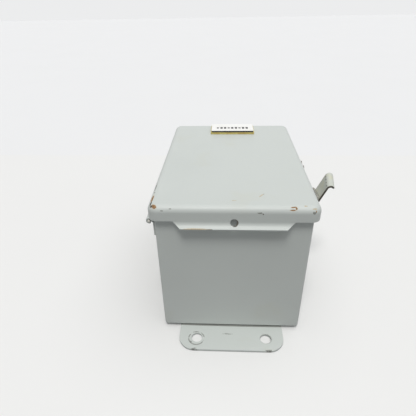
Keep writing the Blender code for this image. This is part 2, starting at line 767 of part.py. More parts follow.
def build_rail(galvanised, steel):
    """Top-hat rail with its channel open upwards, screwed to the panel."""
    half, foot = RAIL_WIDTH / 2, RAIL_WIDTH / 2 - RAIL_BRIM
    t = RAIL_SHEET
    outline = [(half, RAIL_HEIGHT), (foot - t, RAIL_HEIGHT), (foot - t, t)]
    outline += [(-x, z) for x, z in reversed(outline)]
    outline += [(-half, RAIL_HEIGHT - t), (-foot, RAIL_HEIGHT - t), (-foot, 0)]
    outline += [(foot, 0), (foot, RAIL_HEIGHT - t), (half, RAIL_HEIGHT - t)]
    mesh = outline_mesh("din_rail", [outline], RAIL_LENGTH, Matrix.Rotation(math.pi / 2, 4, "X"))
    rail = place("din_rail", mesh, galvanised, (0, 0, RAIL_BOTTOM))
    places = [(0, side * RAIL_SCREW_SPACING / 2, RAIL_BOTTOM) for side in SIDES]
    holes = cylinder_mesh("rail_holes", SCREW_RADIUS + 0.2 * MM, 6 * MM, "Z", places, 12)
    boolean(rail, "DIFFERENCE", helper("rail_holes", holes))
    for i, (x, y, z) in enumerate(places, 1):
        screw(f"rail_screw_{i}", steel, (x, y, z + t + GAP), t + PANEL_SHEET + 2.5 * MM)


def rail_block_outline(width, height, shoulder):
    """Outline of a block that clips over the rail's brims, as (across, up) from the rail's top."""
    brim = RAIL_WIDTH / 2
    right = [
        (brim + GAP, GAP),
        (brim + GAP, -RAIL_SHEET - GAP),
        (brim - 1.2 * MM, -RAIL_SHEET - GAP),
        (brim - 0.4 * MM, -2.6 * MM),
        (brim + 2.6 * MM, -2.6 * MM),
        (width / 2, 3.0 * MM),
        (width / 2, height * 0.52),
        (width / 2 - shoulder, height * 0.62),
        (width / 2 - shoulder, height * 0.8),
        (width / 2 - 1.5 * shoulder, height),
    ]
    return right + [(-x, z) for x, z in reversed(right)]


def build_terminals(grey, green, dark):
    """Feed-through blocks and an earth block side by side on the rail, closed by end stops."""
    outline = rail_block_outline(TERMINAL_WIDTH, TERMINAL_HEIGHT, 5 * MM)
    stand = (math.pi / 2, 0, 0)
    across = (TERMINALS + 1) * TERMINAL_PITCH + END_PLATE_THICKNESS + GAP
    y = -across / 2
    earth = TERMINALS // 2
    thickness = TERMINAL_PITCH - GAP
    block = outline_curve("terminal_block", [outline], thickness)
    earth_block = outline_curve("earth_block", [outline], thickness)
    number = 0
    for i in range(TERMINALS + 1):
        centre = (0, y + (i + 0.5) * TERMINAL_PITCH, RAIL_TOP)
        if i == earth:
            place("earth_block", earth_block, green, centre, stand)
            continue
        number += 1
        place(f"terminal_block_{number}", block, grey, centre, stand)
    y += (TERMINALS + 1) * TERMINAL_PITCH
    plate = outline_curve("terminal_end_plate", [outline], END_PLATE_THICKNESS)
    y += END_PLATE_THICKNESS / 2 + GAP / 2
    place("terminal_end_plate", plate, dark, (0, y, RAIL_TOP), stand)
    stop_outline = rail_block_outline(TERMINAL_WIDTH * 0.98, TERMINAL_HEIGHT * 0.75, 6 * MM)
    stop = outline_curve("end_stop", [stop_outline], END_STOP_THICKNESS)
    reach = across / 2 + END_STOP_THICKNESS / 2 + 2 * GAP
    for i, side in enumerate(SIDES, 1):
        place(f"end_stop_{i}", stop, dark, (0, side * reach, RAIL_TOP), stand)


clear_scene()
PARTS = collection("junction_box")
CUTTERS = collection("cutters")
PAINT = material("grey_paint", (0.60, 0.63, 0.61), 0.42)
LATCH_PAINT = material("latch_paint", (0.50, 0.51, 0.46), 0.50)
STEEL = material("zinc_steel", (0.62, 0.62, 0.60), 0.35, 1.0)
GALVANISED = material("galvanised_sheet", (0.66, 0.67, 0.66), 0.45, 1.0)
RUBBER = material("gasket_rubber", (0.05, 0.05, 0.05), 0.85)
WHITE = material("label_plastic", (0.85, 0.85, 0.80), 0.40)
TAPE = material("label_tape", (0.72, 0.66, 0.30), 0.60)
GREY = material("terminal_plastic", (0.45, 0.46, 0.46), 0.50)
GREEN = material("earth_green", (0.10, 0.35, 0.12), 0.50)
DARK = material("end_plastic", (0.12, 0.12, 0.13), 0.55)

FRAME = empty("enclosure_frame", location=(FRAME_SHIFT, 0, 0))
COVER_PIVOT = empty("cover_pivot", FRAME, (HINGE_X, 0, HINGE_AXIS_HEIGHT))
LATCH_PIVOT = empty("latch_pivot", FRAME, (LATCH_X, 0, LATCH_AXIS_HEIGHT), (0, LATCH_LEAN, 0))

build_body(PAINT)
build_feet(PAINT)
build_cover(PAINT, COVER_PIVOT)
build_gasket(RUBBER, COVER_PIVOT)
build_hinge(PAINT, STEEL, COVER_PIVOT)
build_strike(STEEL, COVER_PIVOT)
build_label(WHITE, TAPE, COVER_PIVOT)
build_bracket(PAINT, STEEL)
build_lever(LATCH_PAINT, LATCH_PIVOT)
build_catch(STEEL, LATCH_PIVOT)
build_panel(GALVANISED, STEEL)
build_rail(GALVANISED, STEEL)
build_terminals(GREY, GREEN, DARK)
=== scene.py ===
"""Looks of a small hinged-cover junction box in painted sheet steel.

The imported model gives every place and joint. The classes below rebuild its pieces as a sheet-metal
shop, a turner and a moulder would make them, with their bends, rolled edges, threads and wells, and
give each one a procedural finish. Lengths are metres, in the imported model's frame.
"""

import sys
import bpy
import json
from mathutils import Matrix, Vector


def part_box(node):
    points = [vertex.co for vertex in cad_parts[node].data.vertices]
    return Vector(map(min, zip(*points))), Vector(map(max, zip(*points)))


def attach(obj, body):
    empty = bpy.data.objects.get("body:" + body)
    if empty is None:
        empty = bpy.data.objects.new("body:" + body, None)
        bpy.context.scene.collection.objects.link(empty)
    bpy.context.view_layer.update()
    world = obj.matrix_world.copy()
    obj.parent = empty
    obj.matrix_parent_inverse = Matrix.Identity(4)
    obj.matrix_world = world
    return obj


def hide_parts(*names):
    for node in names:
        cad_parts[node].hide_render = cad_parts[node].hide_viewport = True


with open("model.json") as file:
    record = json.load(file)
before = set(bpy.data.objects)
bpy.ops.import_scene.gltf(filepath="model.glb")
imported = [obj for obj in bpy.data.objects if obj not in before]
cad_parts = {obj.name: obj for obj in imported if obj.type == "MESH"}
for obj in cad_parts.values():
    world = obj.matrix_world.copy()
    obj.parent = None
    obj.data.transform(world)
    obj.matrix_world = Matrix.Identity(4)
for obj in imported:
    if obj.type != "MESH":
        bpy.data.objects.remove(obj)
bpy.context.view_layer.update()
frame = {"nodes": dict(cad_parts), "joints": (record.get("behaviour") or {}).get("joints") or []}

import json
import logging
import math
from collections.abc import Callable, Iterable, Mapping, Sequence
from dataclasses import dataclass
from enum import Enum
from functools import lru_cache

import bmesh
import bpy
from mathutils import Matrix, Vector

LOG = logging.getLogger("junction_box")
MM = 0.001
SIDES = (-1, 1)
WELD = 0.002 * MM  # points this close are made one
SHARP = math.radians(35)  # edges over this angle stay sharp
RIVET_HOLE = 1.3 * MM
STRIKE_RIVETS = ("strike_rivet_1", "strike_rivet_2")
BRACKET_RIVETS = ("bracket_rivet_1", "bracket_rivet_2")
RAIL_SCREWS = ("rail_screw_1", "rail_screw_2")
Point2 = tuple[float, float]
Point3 = tuple[float, float, float]
Colour = tuple[float, float, float]
EdgeTest = Callable[[bmesh.types.BMEdge], bool]


def scaled(values: Point3 | Colour, *shares: float) -> Point3 | Colour:
    """Return three values times one share, or times one share each."""
    return tuple(value * share for value, share in zip(values, shares * (3 // len(shares))))


def runs_along(axis: int, least: float = MM) -> EdgeTest:
    """Return a test for edges that reach further than this along an axis, as its number."""
    return lambda edge: abs(edge.verts[0].co[axis] - edge.verts[1].co[axis]) > least


def new_object(name: str, data: bpy.types.ID) -> bpy.types.Object:
    """Return a new object in the scene that shows this data."""
    made = bpy.data.objects.new(name, data)
    bpy.context.scene.collection.objects.link(made)
    return made


UPRIGHT = runs_along(2)


# ---------------------------------------------------------------- shader graphs


class Link:
    """A value, vector or colour in a material's graph. Arithmetic on it adds Math nodes."""

    def __init__(self, graph: "Graph", socket: bpy.types.NodeSocket) -> None:
        """Wrap one output socket of a graph."""
        self.graph = graph
        self.socket = socket

    def _math(self, operation: str, first: "Link | float", second: "Link | float") -> "Link":
        """Return the result of one Math node on two values."""
        node = self.graph.node("ShaderNodeMath", {"operation": operation}, {0: first, 1: second})
        return Link(self.graph, node.outputs[0])

    def __add__(self, other: "Link | float") -> "Link":
        """Return self + other."""
        return self._math("ADD", self, other)

    def __sub__(self, other: "Link | float") -> "Link":
        """Return self - other."""
        return self._math("SUBTRACT", self, other)

    def __rsub__(self, other: "Link | float") -> "Link":
        """Return other - self."""
        return self._math("SUBTRACT", other, self)

    def __mul__(self, other: "Link | float") -> "Link":
        """Return self * other."""
        return self._math("MULTIPLY", self, other)

    def __abs__(self) -> "Link":
        """Return the absolute value."""
        return self._math("ABSOLUTE", self, 0.0)

    __radd__ = __add__
    __rmul__ = __mul__

    def most(self, other: "Link | float") -> "Link":
        """Return the larger of self and other."""
        return self._math("MAXIMUM", self, other)

    def wrapped(self, pitch: float) -> "Link":
        """Return how far self is from the nearest multiple of a pitch."""
        return self._math("PINGPONG", self, pitch / 2)

    def ease(self, low: float, high: float) -> "Link":
        """Rise smoothly from 0 at one value of self to 1 at another.

        Args:
            low: Where the result is 0.
            high: Where the result is 1. It may be under low.

        Returns:
            The eased value.
        """
        values = {"Value": self, "From Min": low, "From Max": high}
        node = self.graph.node("ShaderNodeMapRange", {"interpolation_type": "SMOOTHSTEP"}, values)
        return Link(self.graph, node.outputs[0])


class Graph:
    """The nodes of one material, read in the object's own coordinates."""

    def __init__(self, name: str) -> None:
        """Start a material with an empty Principled shader.

        Args:
            name: The material's name.
        """
        self.material = bpy.data.materials.new(name)
        self.material.use_nodes = True
        self.tree = self.material.node_tree
        self.shader = self.tree.nodes["Principled BSDF"]
        self.place = Link(self, self.node("ShaderNodeTexCoord").outputs["Object"])

    def node(
        self,
        kind: str,
        settings: Mapping[str, object] | None = None,
        values: Mapping[str | int, object] | None = None,
    ) -> bpy.types.Node:
        """Add one node.

        Args:
            kind: The node's type.
            settings: Its own settings, set first. "stops" are a colour ramp's places and colours.
            values: What each input socket holds, or the link that feeds it.

        Returns:
            The new node.
        """
        made = self.tree.nodes.new(kind)
        for name, setting in (settings or {}).items():
            if name != "stops":
                setattr(made, name, setting)
                continue
            elements = made.color_ramp.elements
            while len(elements) < len(setting):
                elements.new(0.5)
            for element, (position, colour) in zip(elements, setting):
                element.position = position
                element.color = (*colour, 1.0)
        self.feed(made, values or {})
        return made

    def feed(self, node: bpy.types.Node, values: Mapping[str | int, object]) -> None:
        """Set a node's input sockets, or link what feeds them.

        Args:
            node: The node.
            values: What each input socket holds, or the link that feeds it.
        """
        for key, value in values.items():
            socket = node.inputs[key]
            if isinstance(value, Link):
                self.tree.links.new(value.socket, socket)
            else:
                socket.default_value = (*value, 1.0) if socket.type == "RGBA" else value

    def noise(self, scale: float, detail: float = 2.0, roughness: float = 0.5) -> Link:
        """Return noise with this many features a metre, from 0 to 1."""
        values = {"Vector": self.place, "Scale": scale, "Detail": detail, "Roughness": roughness}
        return Link(self, self.node("ShaderNodeTexNoise", None, values).outputs[0])

    def stretched_noise(self, scales: Point3, detail: float = 2.0) -> Link:
        """Return noise with its own number of features a metre along each axis."""
        mapped = self.node("ShaderNodeMapping", None, {"Vector": self.place, "Scale": scales})
        values = {"Vector": Link(self, mapped.outputs[0]), "Scale": 1.0, "Detail": detail}
        return Link(self, self.node("ShaderNodeTexNoise", None, values).outputs[0])

    def cells(self, scale: float, output: str = "Distance") -> Link:
        """Return a Voronoi pattern's distance or cell colour, with this many cells a metre."""
        values = {"Vector": self.place, "Scale": scale}
        return Link(self, self.node("ShaderNodeTexVoronoi", None, values).outputs[output])

    def axes(self) -> tuple[Link, Link, Link]:
        """Return the object's x, y and z."""
        parts = self.node("ShaderNodeSeparateXYZ", None, {0: self.place})
        return tuple(Link(self, output) for output in parts.outputs)

    def length_from(self, centre: Point3, reach: Point3, turn: float = 0.0) -> Link:
        """Distance from a point, counted in an ellipsoid's own half lengths.

        Args:
            centre: The ellipsoid's middle.
            reach: Its half lengths.
            turn: How far it is turned about Z, in radians.

        Returns:
            0 at the middle and 1 on the ellipsoid.
        """
        values = {"Vector": self.place, "Location": centre, "Rotation": (0, 0, turn), "Scale": reach}
        local = self.node("ShaderNodeMapping", {"vector_type": "TEXTURE"}, values)
        lengths = {0: Link(self, local.outputs[0])}
        node = self.node("ShaderNodeVectorMath", {"operation": "LENGTH"}, lengths)
        return Link(self, node.outputs["Value"])

    def mix(self, share: Link | float, first: Link | Colour, second: Link | Colour) -> Link:
        """Return the first colour with this share, from 0 to 1, of the second mixed in."""
        node = self.node("ShaderNodeMix", {"data_type": "RGBA"}, {0: share, 6: first, 7: second})
        return Link(self, node.outputs[2])

    def ramp(self, value: Link, *stops: tuple[float, Colour]) -> Link:
        """Return the colour of a ramp at a value."""
        return Link(self, self.node("ShaderNodeValToRGB", {"stops": stops}, {0: value}).outputs[0])

    def bump(self, height: Link, depth: float, onto: Link | None = None) -> Link:
        """Turn a height into a surface direction.

        Args:
            height: The height, from 0 to 1.
            depth: What a height of 1 stands for, in metres.
            onto: The direction that this one is added to.

        Returns:
            The new surface direction.
        """
        values = {"Height": height, "Distance": depth, "Strength": 1.0}
        if onto is not None:
            values["Normal"] = onto
        return Link(self, self.node("ShaderNodeBump", None, values).outputs[0])

    def finish(self, values: Mapping[str, object]) -> bpy.types.Material:
        """Set the shader's sockets and return the material."""
        self.feed(self.shader, values)
        return self.material


# --------------------------------------------------------------------- finishes


class Damage(Enum):
    """What shows where the enamel has gone, and painted shade laid on in the same colours: two colours for
    its ramp, and its roughness.
    """

    RUST = ((0.10, 0.048, 0.022), (0.47, 0.265, 0.115), 0.85)
    BARE_AND_SHADE = ((0.018, 0.017, 0.014), (0.13, 0.115, 0.09), 0.6)
    SCRAPE = ((0.42, 0.34, 0.22), (0.64, 0.57, 0.43), 0.7)
    SMUDGE_AND_SHADE = ((0.19, 0.20, 0.18), (0.30, 0.31, 0.285), 0.55)


@dataclass(frozen=True)
class ChipOrShade:
    """One place where the enamel is damaged, or where shade is painted on, in the part's frame, in
    millimetres.

    Attributes:
        kind: What shows there.
        at: Its middle.
        reach: Its half lengths.
        ragged: How uneven its outline is.
        turn: How far it is turned about Z, in degrees.
    """

    kind: Damage
    at: Point3
    reach: Point3
    ragged: float
    turn: float = 0.0


@dataclass(frozen=True)
class Enamel:
    """Sprayed and baked enamel on sheet steel, with orange peel, grime, chips, worn edges and painted
    shade.

    Attributes:
        name: The material's name.
        slot: The record's material slot that it stands for. It is not used.
        colour: The clean colour.
        chips: Its damaged places, and the places where shade is painted on.
        box: The box whose edges are worn, as its two corners, or None.
        speckle: How strongly dark specks show, from 0 to 1.
        weld_pitch: Distance along Y between spot welds, or 0 for none.
        weld_height: The spot welds' height.
        rings: Broken rings pressed in by washers, as (x, y, radius).
    """

    name: str
    slot: str
    colour: Colour
    chips: tuple[ChipOrShade, ...] = ()
    box: tuple[Point3, Point3] | None = None
    speckle: float = 0.0
    weld_pitch: float = 0.0
    weld_height: float = 0.0
    rings: tuple[Point3, ...] = ()

    def edge_wear(self, graph: Graph) -> Link:
        """Return a mask of small chips along the box's edges."""
        low, high = (Vector(corner) for corner in self.box)
        centre, half = (low + high) / 2, (high - low) / 2
        near = []
        for axis, middle, reach in zip(graph.axes(), centre, half):
            near.append(abs(axis - middle).ease(reach - 1.6 * MM, reach - 0.2 * MM))
        edge = (near[0] * near[1]).most(near[1] * near[2]).most(near[0] * near[2])
        rare = graph.noise(170, 3.0).ease(0.68, 0.71)
        return edge * rare * graph.noise(900, 1.0).ease(0.40, 0.50)

    def welds(self, graph: Graph) -> Link:
        """Return a mask of the round dents that spot welds leave."""
        _, y, z = graph.axes()
        along, up = y.wrapped(self.weld_pitch), abs(z - self.weld_height)
        outer, inner = 1.9 * MM, 1.3 * MM
        return (along * along + up * up).ease(outer**2, inner**2)

    def masks(self, graph: Graph, depths: Mapping[Damage, Link]) -> dict[Damage, Link]:
        """Turn the chips' depths into masks, with the washers' rings and the worn edges added.

        Args:
            graph: The material's graph.
            depths: How far inside the chips of each kind a point is.

        Returns:
            A mask for each kind of damage.
        """
        masks = {kind: depth.ease(0.0, 0.22) for kind, depth in depths.items()}
        for x, y, radius in self.rings:
            away = graph.length_from((MM * x, MM * y, 0), (MM * radius, MM * radius, 1.0))
            ring = abs(away - 1).ease(0.11, 0.03) * graph.noise(330, 2.0).ease(0.36, 0.52)
            masks[Damage.BARE_AND_SHADE] = ring.most(masks.get(Damage.BARE_AND_SHADE, 0.0)) * 0.8
        if self.box is not None:
            wear = self.edge_wear(graph)
            masks[Damage.BARE_AND_SHADE] = wear.most(masks[Damage.BARE_AND_SHADE]) if Damage.BARE_AND_SHADE in masks else wear
        return masks

    def depths(self, graph: Graph) -> dict[Damage, Link]:
        """Measure how far inside its nearest chip of each kind a point is, by a ragged outline.

        Args:
            graph: The material's graph.

        Returns:
            The depth for each kind of damage, 0 on the outline and 1 in the middle.
        """
        ragged = graph.noise(1500, 3.0, 0.6)
        found: dict[Damage, Link] = {}
        for chip in self.chips:
            centre, reach = scaled(chip.at, MM), scaled(chip.reach, MM)
            away = graph.length_from(centre, reach, math.radians(chip.turn))
            depth = 1 - away + (ragged - 0.5) * (2 * chip.ragged)
            found[chip.kind] = depth.most(found[chip.kind]) if chip.kind in found else depth
        return found

    def material(self) -> bpy.types.Material:
        """Build the material: the coat and its grime, then specks and welds, then the damage and the
        painted shade.

        Returns:
            The finished material.
        """
        graph = Graph(self.name)
        broad, fine = graph.noise(14, 3.0), graph.noise(420, 3.0, 0.6)
        grain = graph.noise(2600, 2.0)
        darker = scaled(self.colour, 0.90)
        colour = graph.mix(broad.ease(0.35, 0.75) * 0.35, self.colour, darker)
        grime = graph.noise(38, 4.0).ease(0.56, 0.80) * 0.40
        colour = graph.mix(grime, colour, scaled(self.colour, 0.97, 0.94, 0.86))
        colour = graph.mix(fine.ease(0.55, 0.85) * 0.25, colour, darker)
        streaks = graph.stretched_noise((260, 30, 300), 3.0).ease(0.60, 0.82)
        roughness = 0.36 + broad * 0.12 + fine * 0.08 + streaks * 0.10
        height = graph.noise(650, 2.0) * 0.35
        if self.speckle:
            specks = graph.cells(700).ease(0.22, 0.10) * graph.noise(240).ease(0.44, 0.58)
            colour = graph.mix(specks * self.speckle, colour, scaled(self.colour, 0.30))
            stain = graph.noise(190, 3.0).ease(0.45, 0.7) * self.speckle
            colour = graph.mix(stain, colour, scaled(self.colour, 1.02, 0.96, 0.70))
            height = height + specks * -0.8
        if self.weld_pitch:
            spot = self.welds(graph)
            height = height - spot * 2.5
            roughness = roughness + spot * 0.1
        depths = self.depths(graph)
        if Damage.RUST in depths:
            halo = depths[Damage.RUST].ease(-0.55, 0.05) * 0.38
            colour = graph.mix(halo, colour, scaled(self.colour, 0.98, 0.80, 0.55))
        for kind, mask in self.masks(graph, depths).items():
            first, second, rough = kind.value
            colour = graph.mix(mask, colour, graph.ramp(grain, (0.32, first), (0.68, second)))
            roughness = roughness * (1 - mask) + mask * rough
            height = height - mask * (0.6 if kind is Damage.SMUDGE_AND_SHADE else 2.4)
            height = height + mask * grain * 1.2
        normal = graph.bump(height, 0.03 * MM)
        return graph.finish(
            {"Base Color": colour, "Roughness": roughness, "Normal": normal, "IOR": 1.5}
        )


@dataclass(frozen=True)
class Plating:
    """Bright zinc on turned or pressed steel, with fine scratches and dull patches."""

    name: str
    slot: str
    colour: Colour
    roughness: float

    def material(self) -> bpy.types.Material:
        """Build the material."""
        graph = Graph(self.name)
        patches = graph.noise(160, 4.0)
        brushed = graph.stretched_noise((700, 5200, 700), 2.0)
        dull = scaled(self.colour, 0.62)
        colour = graph.mix(patches.ease(0.45, 0.72) * 0.6, self.colour, dull)
        warmth = graph.noise(90, 2.0).ease(0.55, 0.75) * 0.45
        colour = graph.mix(warmth, colour, scaled(self.colour, 0.95, 0.88, 0.70))
        roughness = self.roughness + patches * 0.18 + brushed * 0.08
        normal = graph.bump(brushed * 0.5 + patches * 0.5, 0.012 * MM)
        values = {"Base Color": colour, "Metallic": 1.0, "Roughness": roughness, "Normal": normal}
        return graph.finish(values)


@dataclass(frozen=True)
class Galvanised:
    """Hot-dip zinc sheet, whose crystals each reflect a little differently."""

    name: str
    slot: str
    crystal: float

    def material(self) -> bpy.types.Material:
        """Build the material."""
        graph = Graph(self.name)
        crystal = graph.cells(1 / self.crystal, "Color")
        shade = graph.node("ShaderNodeRGBToBW", None, {0: crystal})
        value = Link(graph, shade.outputs[0])
        colour = graph.ramp(value, (0.15, (0.40, 0.41, 0.42)), (0.85, (0.66, 0.67, 0.67)))
        bloom = graph.noise(120, 4.0).ease(0.55, 0.78)
        colour = graph.mix(bloom * 0.4, colour, (0.78, 0.79, 0.78))
        roughness = 0.30 + value * 0.22 + bloom * 0.2
        normal = graph.bump(value * 0.6 + graph.noise(900) * 0.4, 0.015 * MM)
        values = {"Base Color": colour, "Metallic": 0.9, "Roughness": roughness, "Normal": normal}
        return graph.finish(values)


@dataclass(frozen=True)
class Foam:
    """Cellular rubber or foam tape, with a stained or dusty skin and pores darkened with painted shade."""

    name: str
    slot: str
    colour: Colour
    stain: Colour
    pore: float
    depth: float

    def material(self) -> bpy.types.Material:
        """Build the material."""
        graph = Graph(self.name)
        pores = graph.cells(1 / self.pore)
        stain = graph.noise(150, 4.0).ease(0.42, 0.72)
        holes = pores.ease(0.42, 0.12)
        colour = graph.mix(stain * 0.8, self.colour, self.stain)
        # Painted shade: each pore is darkened in colour.
        colour = graph.mix(holes * 0.55, colour, scaled(self.colour, 0.45))
        normal = graph.bump(pores.ease(0.0, 0.6) + graph.noise(700, 3.0) * 0.4, self.depth)
        roughness = 0.74 + stain * 0.16
        return graph.finish({"Base Color": colour, "Roughness": roughness, "Normal": normal})


@dataclass(frozen=True)
class Plastic:
    """Moulded or engraved plastic, with a fine texture, scuffs and slight ageing."""

    name: str
    slot: str
    colour: Colour
    aged: Colour
    roughness: float
    texture: float = 0.008

    def material(self) -> bpy.types.Material:
        """Build the material."""
        graph = Graph(self.name)
        age = graph.noise(60, 4.0).ease(0.40, 0.80)
        scuffs = graph.stretched_noise((300, 2400, 300), 3.0).ease(0.64, 0.78)
        grain = graph.noise(3800, 2.0)
        colour = graph.mix(age * 0.55, self.colour, self.aged)
        colour = graph.mix(scuffs * 0.18, colour, scaled(self.colour, 0.7))
        roughness = self.roughness + scuffs * 0.16 + grain * 0.08
        normal = graph.bump(grain + scuffs * -0.8, self.texture * MM)
        return graph.finish({"Base Color": colour, "Roughness": roughness, "Normal": normal})


Finish = Enamel | Plating | Galvanised | Foam | Plastic


@lru_cache(maxsize=None)
def material_of(finish: Finish) -> bpy.types.Material:
    """Return a finish's material, made once."""
    return finish.material()


def chips(kind: Damage, *rows: tuple) -> tuple[ChipOrShade, ...]:
    """Return chips or painted shade of one kind, from rows of what a chip's other fields hold, in their
    order.
    """
    return tuple(ChipOrShade(kind, *row) for row in rows)


GREY = (0.578, 0.612, 0.590)
BODY_BOX = tuple(tuple(corner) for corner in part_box("body_shell"))
COVER_EDGES = tuple(tuple(corner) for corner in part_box("cover"))

COVER_CHIPS_AND_SHADE = (
    *chips(
        Damage.RUST,
        ((-65.7, -68.2, 109.5), (0.85, 4.8, 1.6), 0.5),
        ((-63.2, -77.3, 109.0), (2.0, 1.25, 1.8), 0.5, -38),
        ((3.2, -65.0, 109.8), (1.1, 0.32, 1.0), 0.6, 49),
        ((22.7, -77.3, 109.2), (1.9, 0.42, 1.0), 0.5, 6),
        ((24.2, -78.0, 108.7), (0.65, 0.8, 0.9), 0.5),
        ((22.1, -78.8, 107.9), (1.9, 0.8, 0.42), 0.5),
        ((36.0, -79.2, 107.3), (0.4, 0.8, 1.0), 0.7),
        ((-36.0, -83.4, 95.6), (3.4, 1.4, 0.50), 0.9),
        ((-10.0, 79.5, 107.9), (3.0, 0.8, 0.7), 0.9),
    ),
    *chips(
        Damage.BARE_AND_SHADE,
        ((-65.7, -74.7, 109.5), (0.65, 3.0, 1.6), 0.4, -6),
        ((-65.1, -77.0, 109.2), (1.3, 0.8, 1.5), 0.5),
        ((-65.7, -60.0, 109.4), (0.5, 0.75, 1.0), 0.4),
        ((5.6, -62.2, 109.8), (0.7, 0.26, 1.0), 0.6, 49),
        ((37.8, -78.6, 108.0), (0.8, 0.9, 0.6), 0.6),
        ((4.2, -79.6, 105.3), (0.48, 0.5, 0.42), 0.3),
        ((-28.9, -83.4, 95.5), (3.2, 1.6, 0.55), 0.4),
        # Painted shade: a dark ring round the lip's hole, where the hole's edge lies in shadow.
        ((-13.2, -79.8, 99.0), (2.75, 4.0, 2.75), 0.16),
        ((-67.8, 31.0, 100.6), (0.6, 4.5, 0.8), 0.9),
    ),
    *chips(
        Damage.SMUDGE_AND_SHADE,
        ((-66.2, -51.5, 109.2), (0.5, 6.0, 1.0), 0.9),
        ((35.0, -79.4, 106.4), (1.3, 0.8, 0.9), 1.1),
        ((2.2, -79.4, 106.1), (1.9, 0.5, 0.5), 1.3),
        ((-58.1, -79.3, 107.0), (1.1, 0.7, 0.4), 0.7),
        ((-52.9, -78.6, 108.1), (0.9, 0.7, 0.35), 1),
    ),
    *chips(
        Damage.SCRAPE,
        ((-13.5, -70.6, 109.8), (1.6, 0.34, 1.0), 0.5),
        ((4.1, -63.9, 109.8), (2.8, 0.48, 1.0), 0.5, 49),
        ((35.4, -78.2, 108.5), (1.9, 0.8, 0.42), 0.7),
        ((29.9, -76.5, 109.6), (1.1, 0.5, 0.8), 0.8),
        ((-37.0, -83.3, 95.9), (10.4, 1.6, 0.75), 0.5),
    ),
)
BODY_CHIPS_AND_SHADE = (
    *chips(
        Damage.RUST,
        ((-57.0, -75.8, 1.1), (5.5, 2.6, 0.95), 0.5),
        ((-20.0, 75.9, 2.7), (5.0, 1.0, 0.6), 0.9),
    ),
    *chips(
        Damage.BARE_AND_SHADE,
        # Painted shadow: a dark band along the box's bottom front edge, in the gap over the foot.
        ((-13.2, -75.8, 1.2), (62.0, 2.6, 0.95), 0.1),
        ((37.0, 70.0, 2.4), (0.9, 6.0, 0.5), 0.9),
    ),
    *chips(
        Damage.SMUDGE_AND_SHADE,
        ((30.5, -75.8, 1.2), (5.5, 2.4, 0.95), 0.5),
    ),
    *chips(
        Damage.SCRAPE,
        ((-64.6, 30.0, 40.0), (0.4, 5.0, 0.35), 0.8),
    ),
)
FOOT_CHIPS_AND_SHADE = (
    *chips(
        Damage.SMUDGE_AND_SHADE,
        ((-40.9, -97.5, 1.5), (2.2, 0.7, 0.8), 0.9, 8),
        ((12.9, -97.6, 1.5), (2.8, 0.7, 0.8), 0.9),
        ((-16.5, -84.0, 1.85), (3.0, 0.4, 0.5), 1.6),
    ),
    *chips(
        Damage.BARE_AND_SHADE,
        ((-40.2, -98.0, 1.0), (2.9, 0.5, 0.6), 0.8),
        ((13.6, -98.1, 1.0), (2.9, 0.5, 0.6), 0.8),
        # Painted shadow: a dark band on the foot along the box's bottom front edge.
        ((-13.2, -75.6, 1.8), (62.0, 1.4, 1.0), 0.1),
        ((11.8, -87.6, 1.6), (4.85, 4.7, 1.2), 0.22),
        ((-43.4, -91.6, 1.85), (0.5, 1.1, 0.5), 0.6, 25),
    ),
    *chips(
        Damage.RUST,
        ((14.0, 97.9, 1.4), (2.6, 0.6, 0.7), 0.8),
    ),
)

BODY_PAINT = Enamel("grey_enamel_body", "grey_paint", GREY, BODY_CHIPS_AND_SHADE, BODY_BOX)
COVER_PAINT = Enamel("grey_enamel_cover", "grey_paint", GREY, COVER_CHIPS_AND_SHADE, COVER_EDGES)
FOOT_RINGS = ((-39.6, -88.4, 5.7), (-39.0, 87.8, 5.6))
FOOT_PAINT = Enamel("grey_enamel_feet", "grey_paint", GREY, FOOT_CHIPS_AND_SHADE, rings=FOOT_RINGS)
TRIM_PAINT = Enamel("grey_enamel_trim", "grey_paint", GREY, speckle=0.12)
LEAF_PAINT = Enamel(
    "grey_enamel_hinge", "grey_paint", GREY, speckle=0.15,
    weld_pitch=26.8 * MM, weld_height=89.2 * MM,
)
LATCH_CHIPS_AND_SHADE = (
    *chips(
        Damage.BARE_AND_SHADE,
        ((58.0, -8.0, 78.0), (40.0, 0.5, 60.0), 0.12),
    ),
    *chips(
        Damage.SMUDGE_AND_SHADE,
        # Painted shade: a dark line across the lever, where the cover's right edge passes in front of it
        # from the camera.
        ((62.8, -5.2, 86.3), (0.6, 1.3, 0.7), 1.3),
        ((63.2, -1.4, 87.4), (0.6, 1.0, 0.7), 1.3),
        ((63.7, 2.2, 88.4), (0.6, 1.2, 0.7), 1.3),
        ((64.1, 5.6, 89.3), (0.6, 0.8, 0.7), 1.3),
    ),
)
LATCH_PAINT = Enamel(
    "worn_latch_enamel_with_painted_shade", "latch_paint", (0.575, 0.60, 0.55), LATCH_CHIPS_AND_SHADE, speckle=0.40
)
ZINC = Plating("bright_zinc", "zinc_steel", (0.70, 0.70, 0.68), 0.22)
DULL_ZINC = Plating("dull_zinc", "zinc_steel", (0.50, 0.49, 0.45), 0.34)
BRASS = Plating("terminal_brass", "zinc_steel", (0.72, 0.66, 0.48), 0.24)
SPANGLE = Galvanised("galvanised_sheet", "galvanised_sheet", 4.5 * MM)
FINE_SPANGLE = Galvanised("galvanised_rail", "galvanised_sheet", 2.0 * MM)
GASKET_FOAM = Foam(
    "black_sponge_rubber", "gasket_rubber", (0.020, 0.020, 0.021), (0.045, 0.044, 0.042),
    0.45 * MM, 0.09 * MM,
)
TAPE_FOAM = Foam(
    "aged_foam_tape", "label_tape", (0.66, 0.57, 0.20), (0.56, 0.40, 0.13), 0.30 * MM, 0.08 * MM
)
LABEL_WHITE = Plastic("label_white", "label_plastic", (0.90, 0.90, 0.885), (0.86, 0.85, 0.80), 0.30, 0.004)
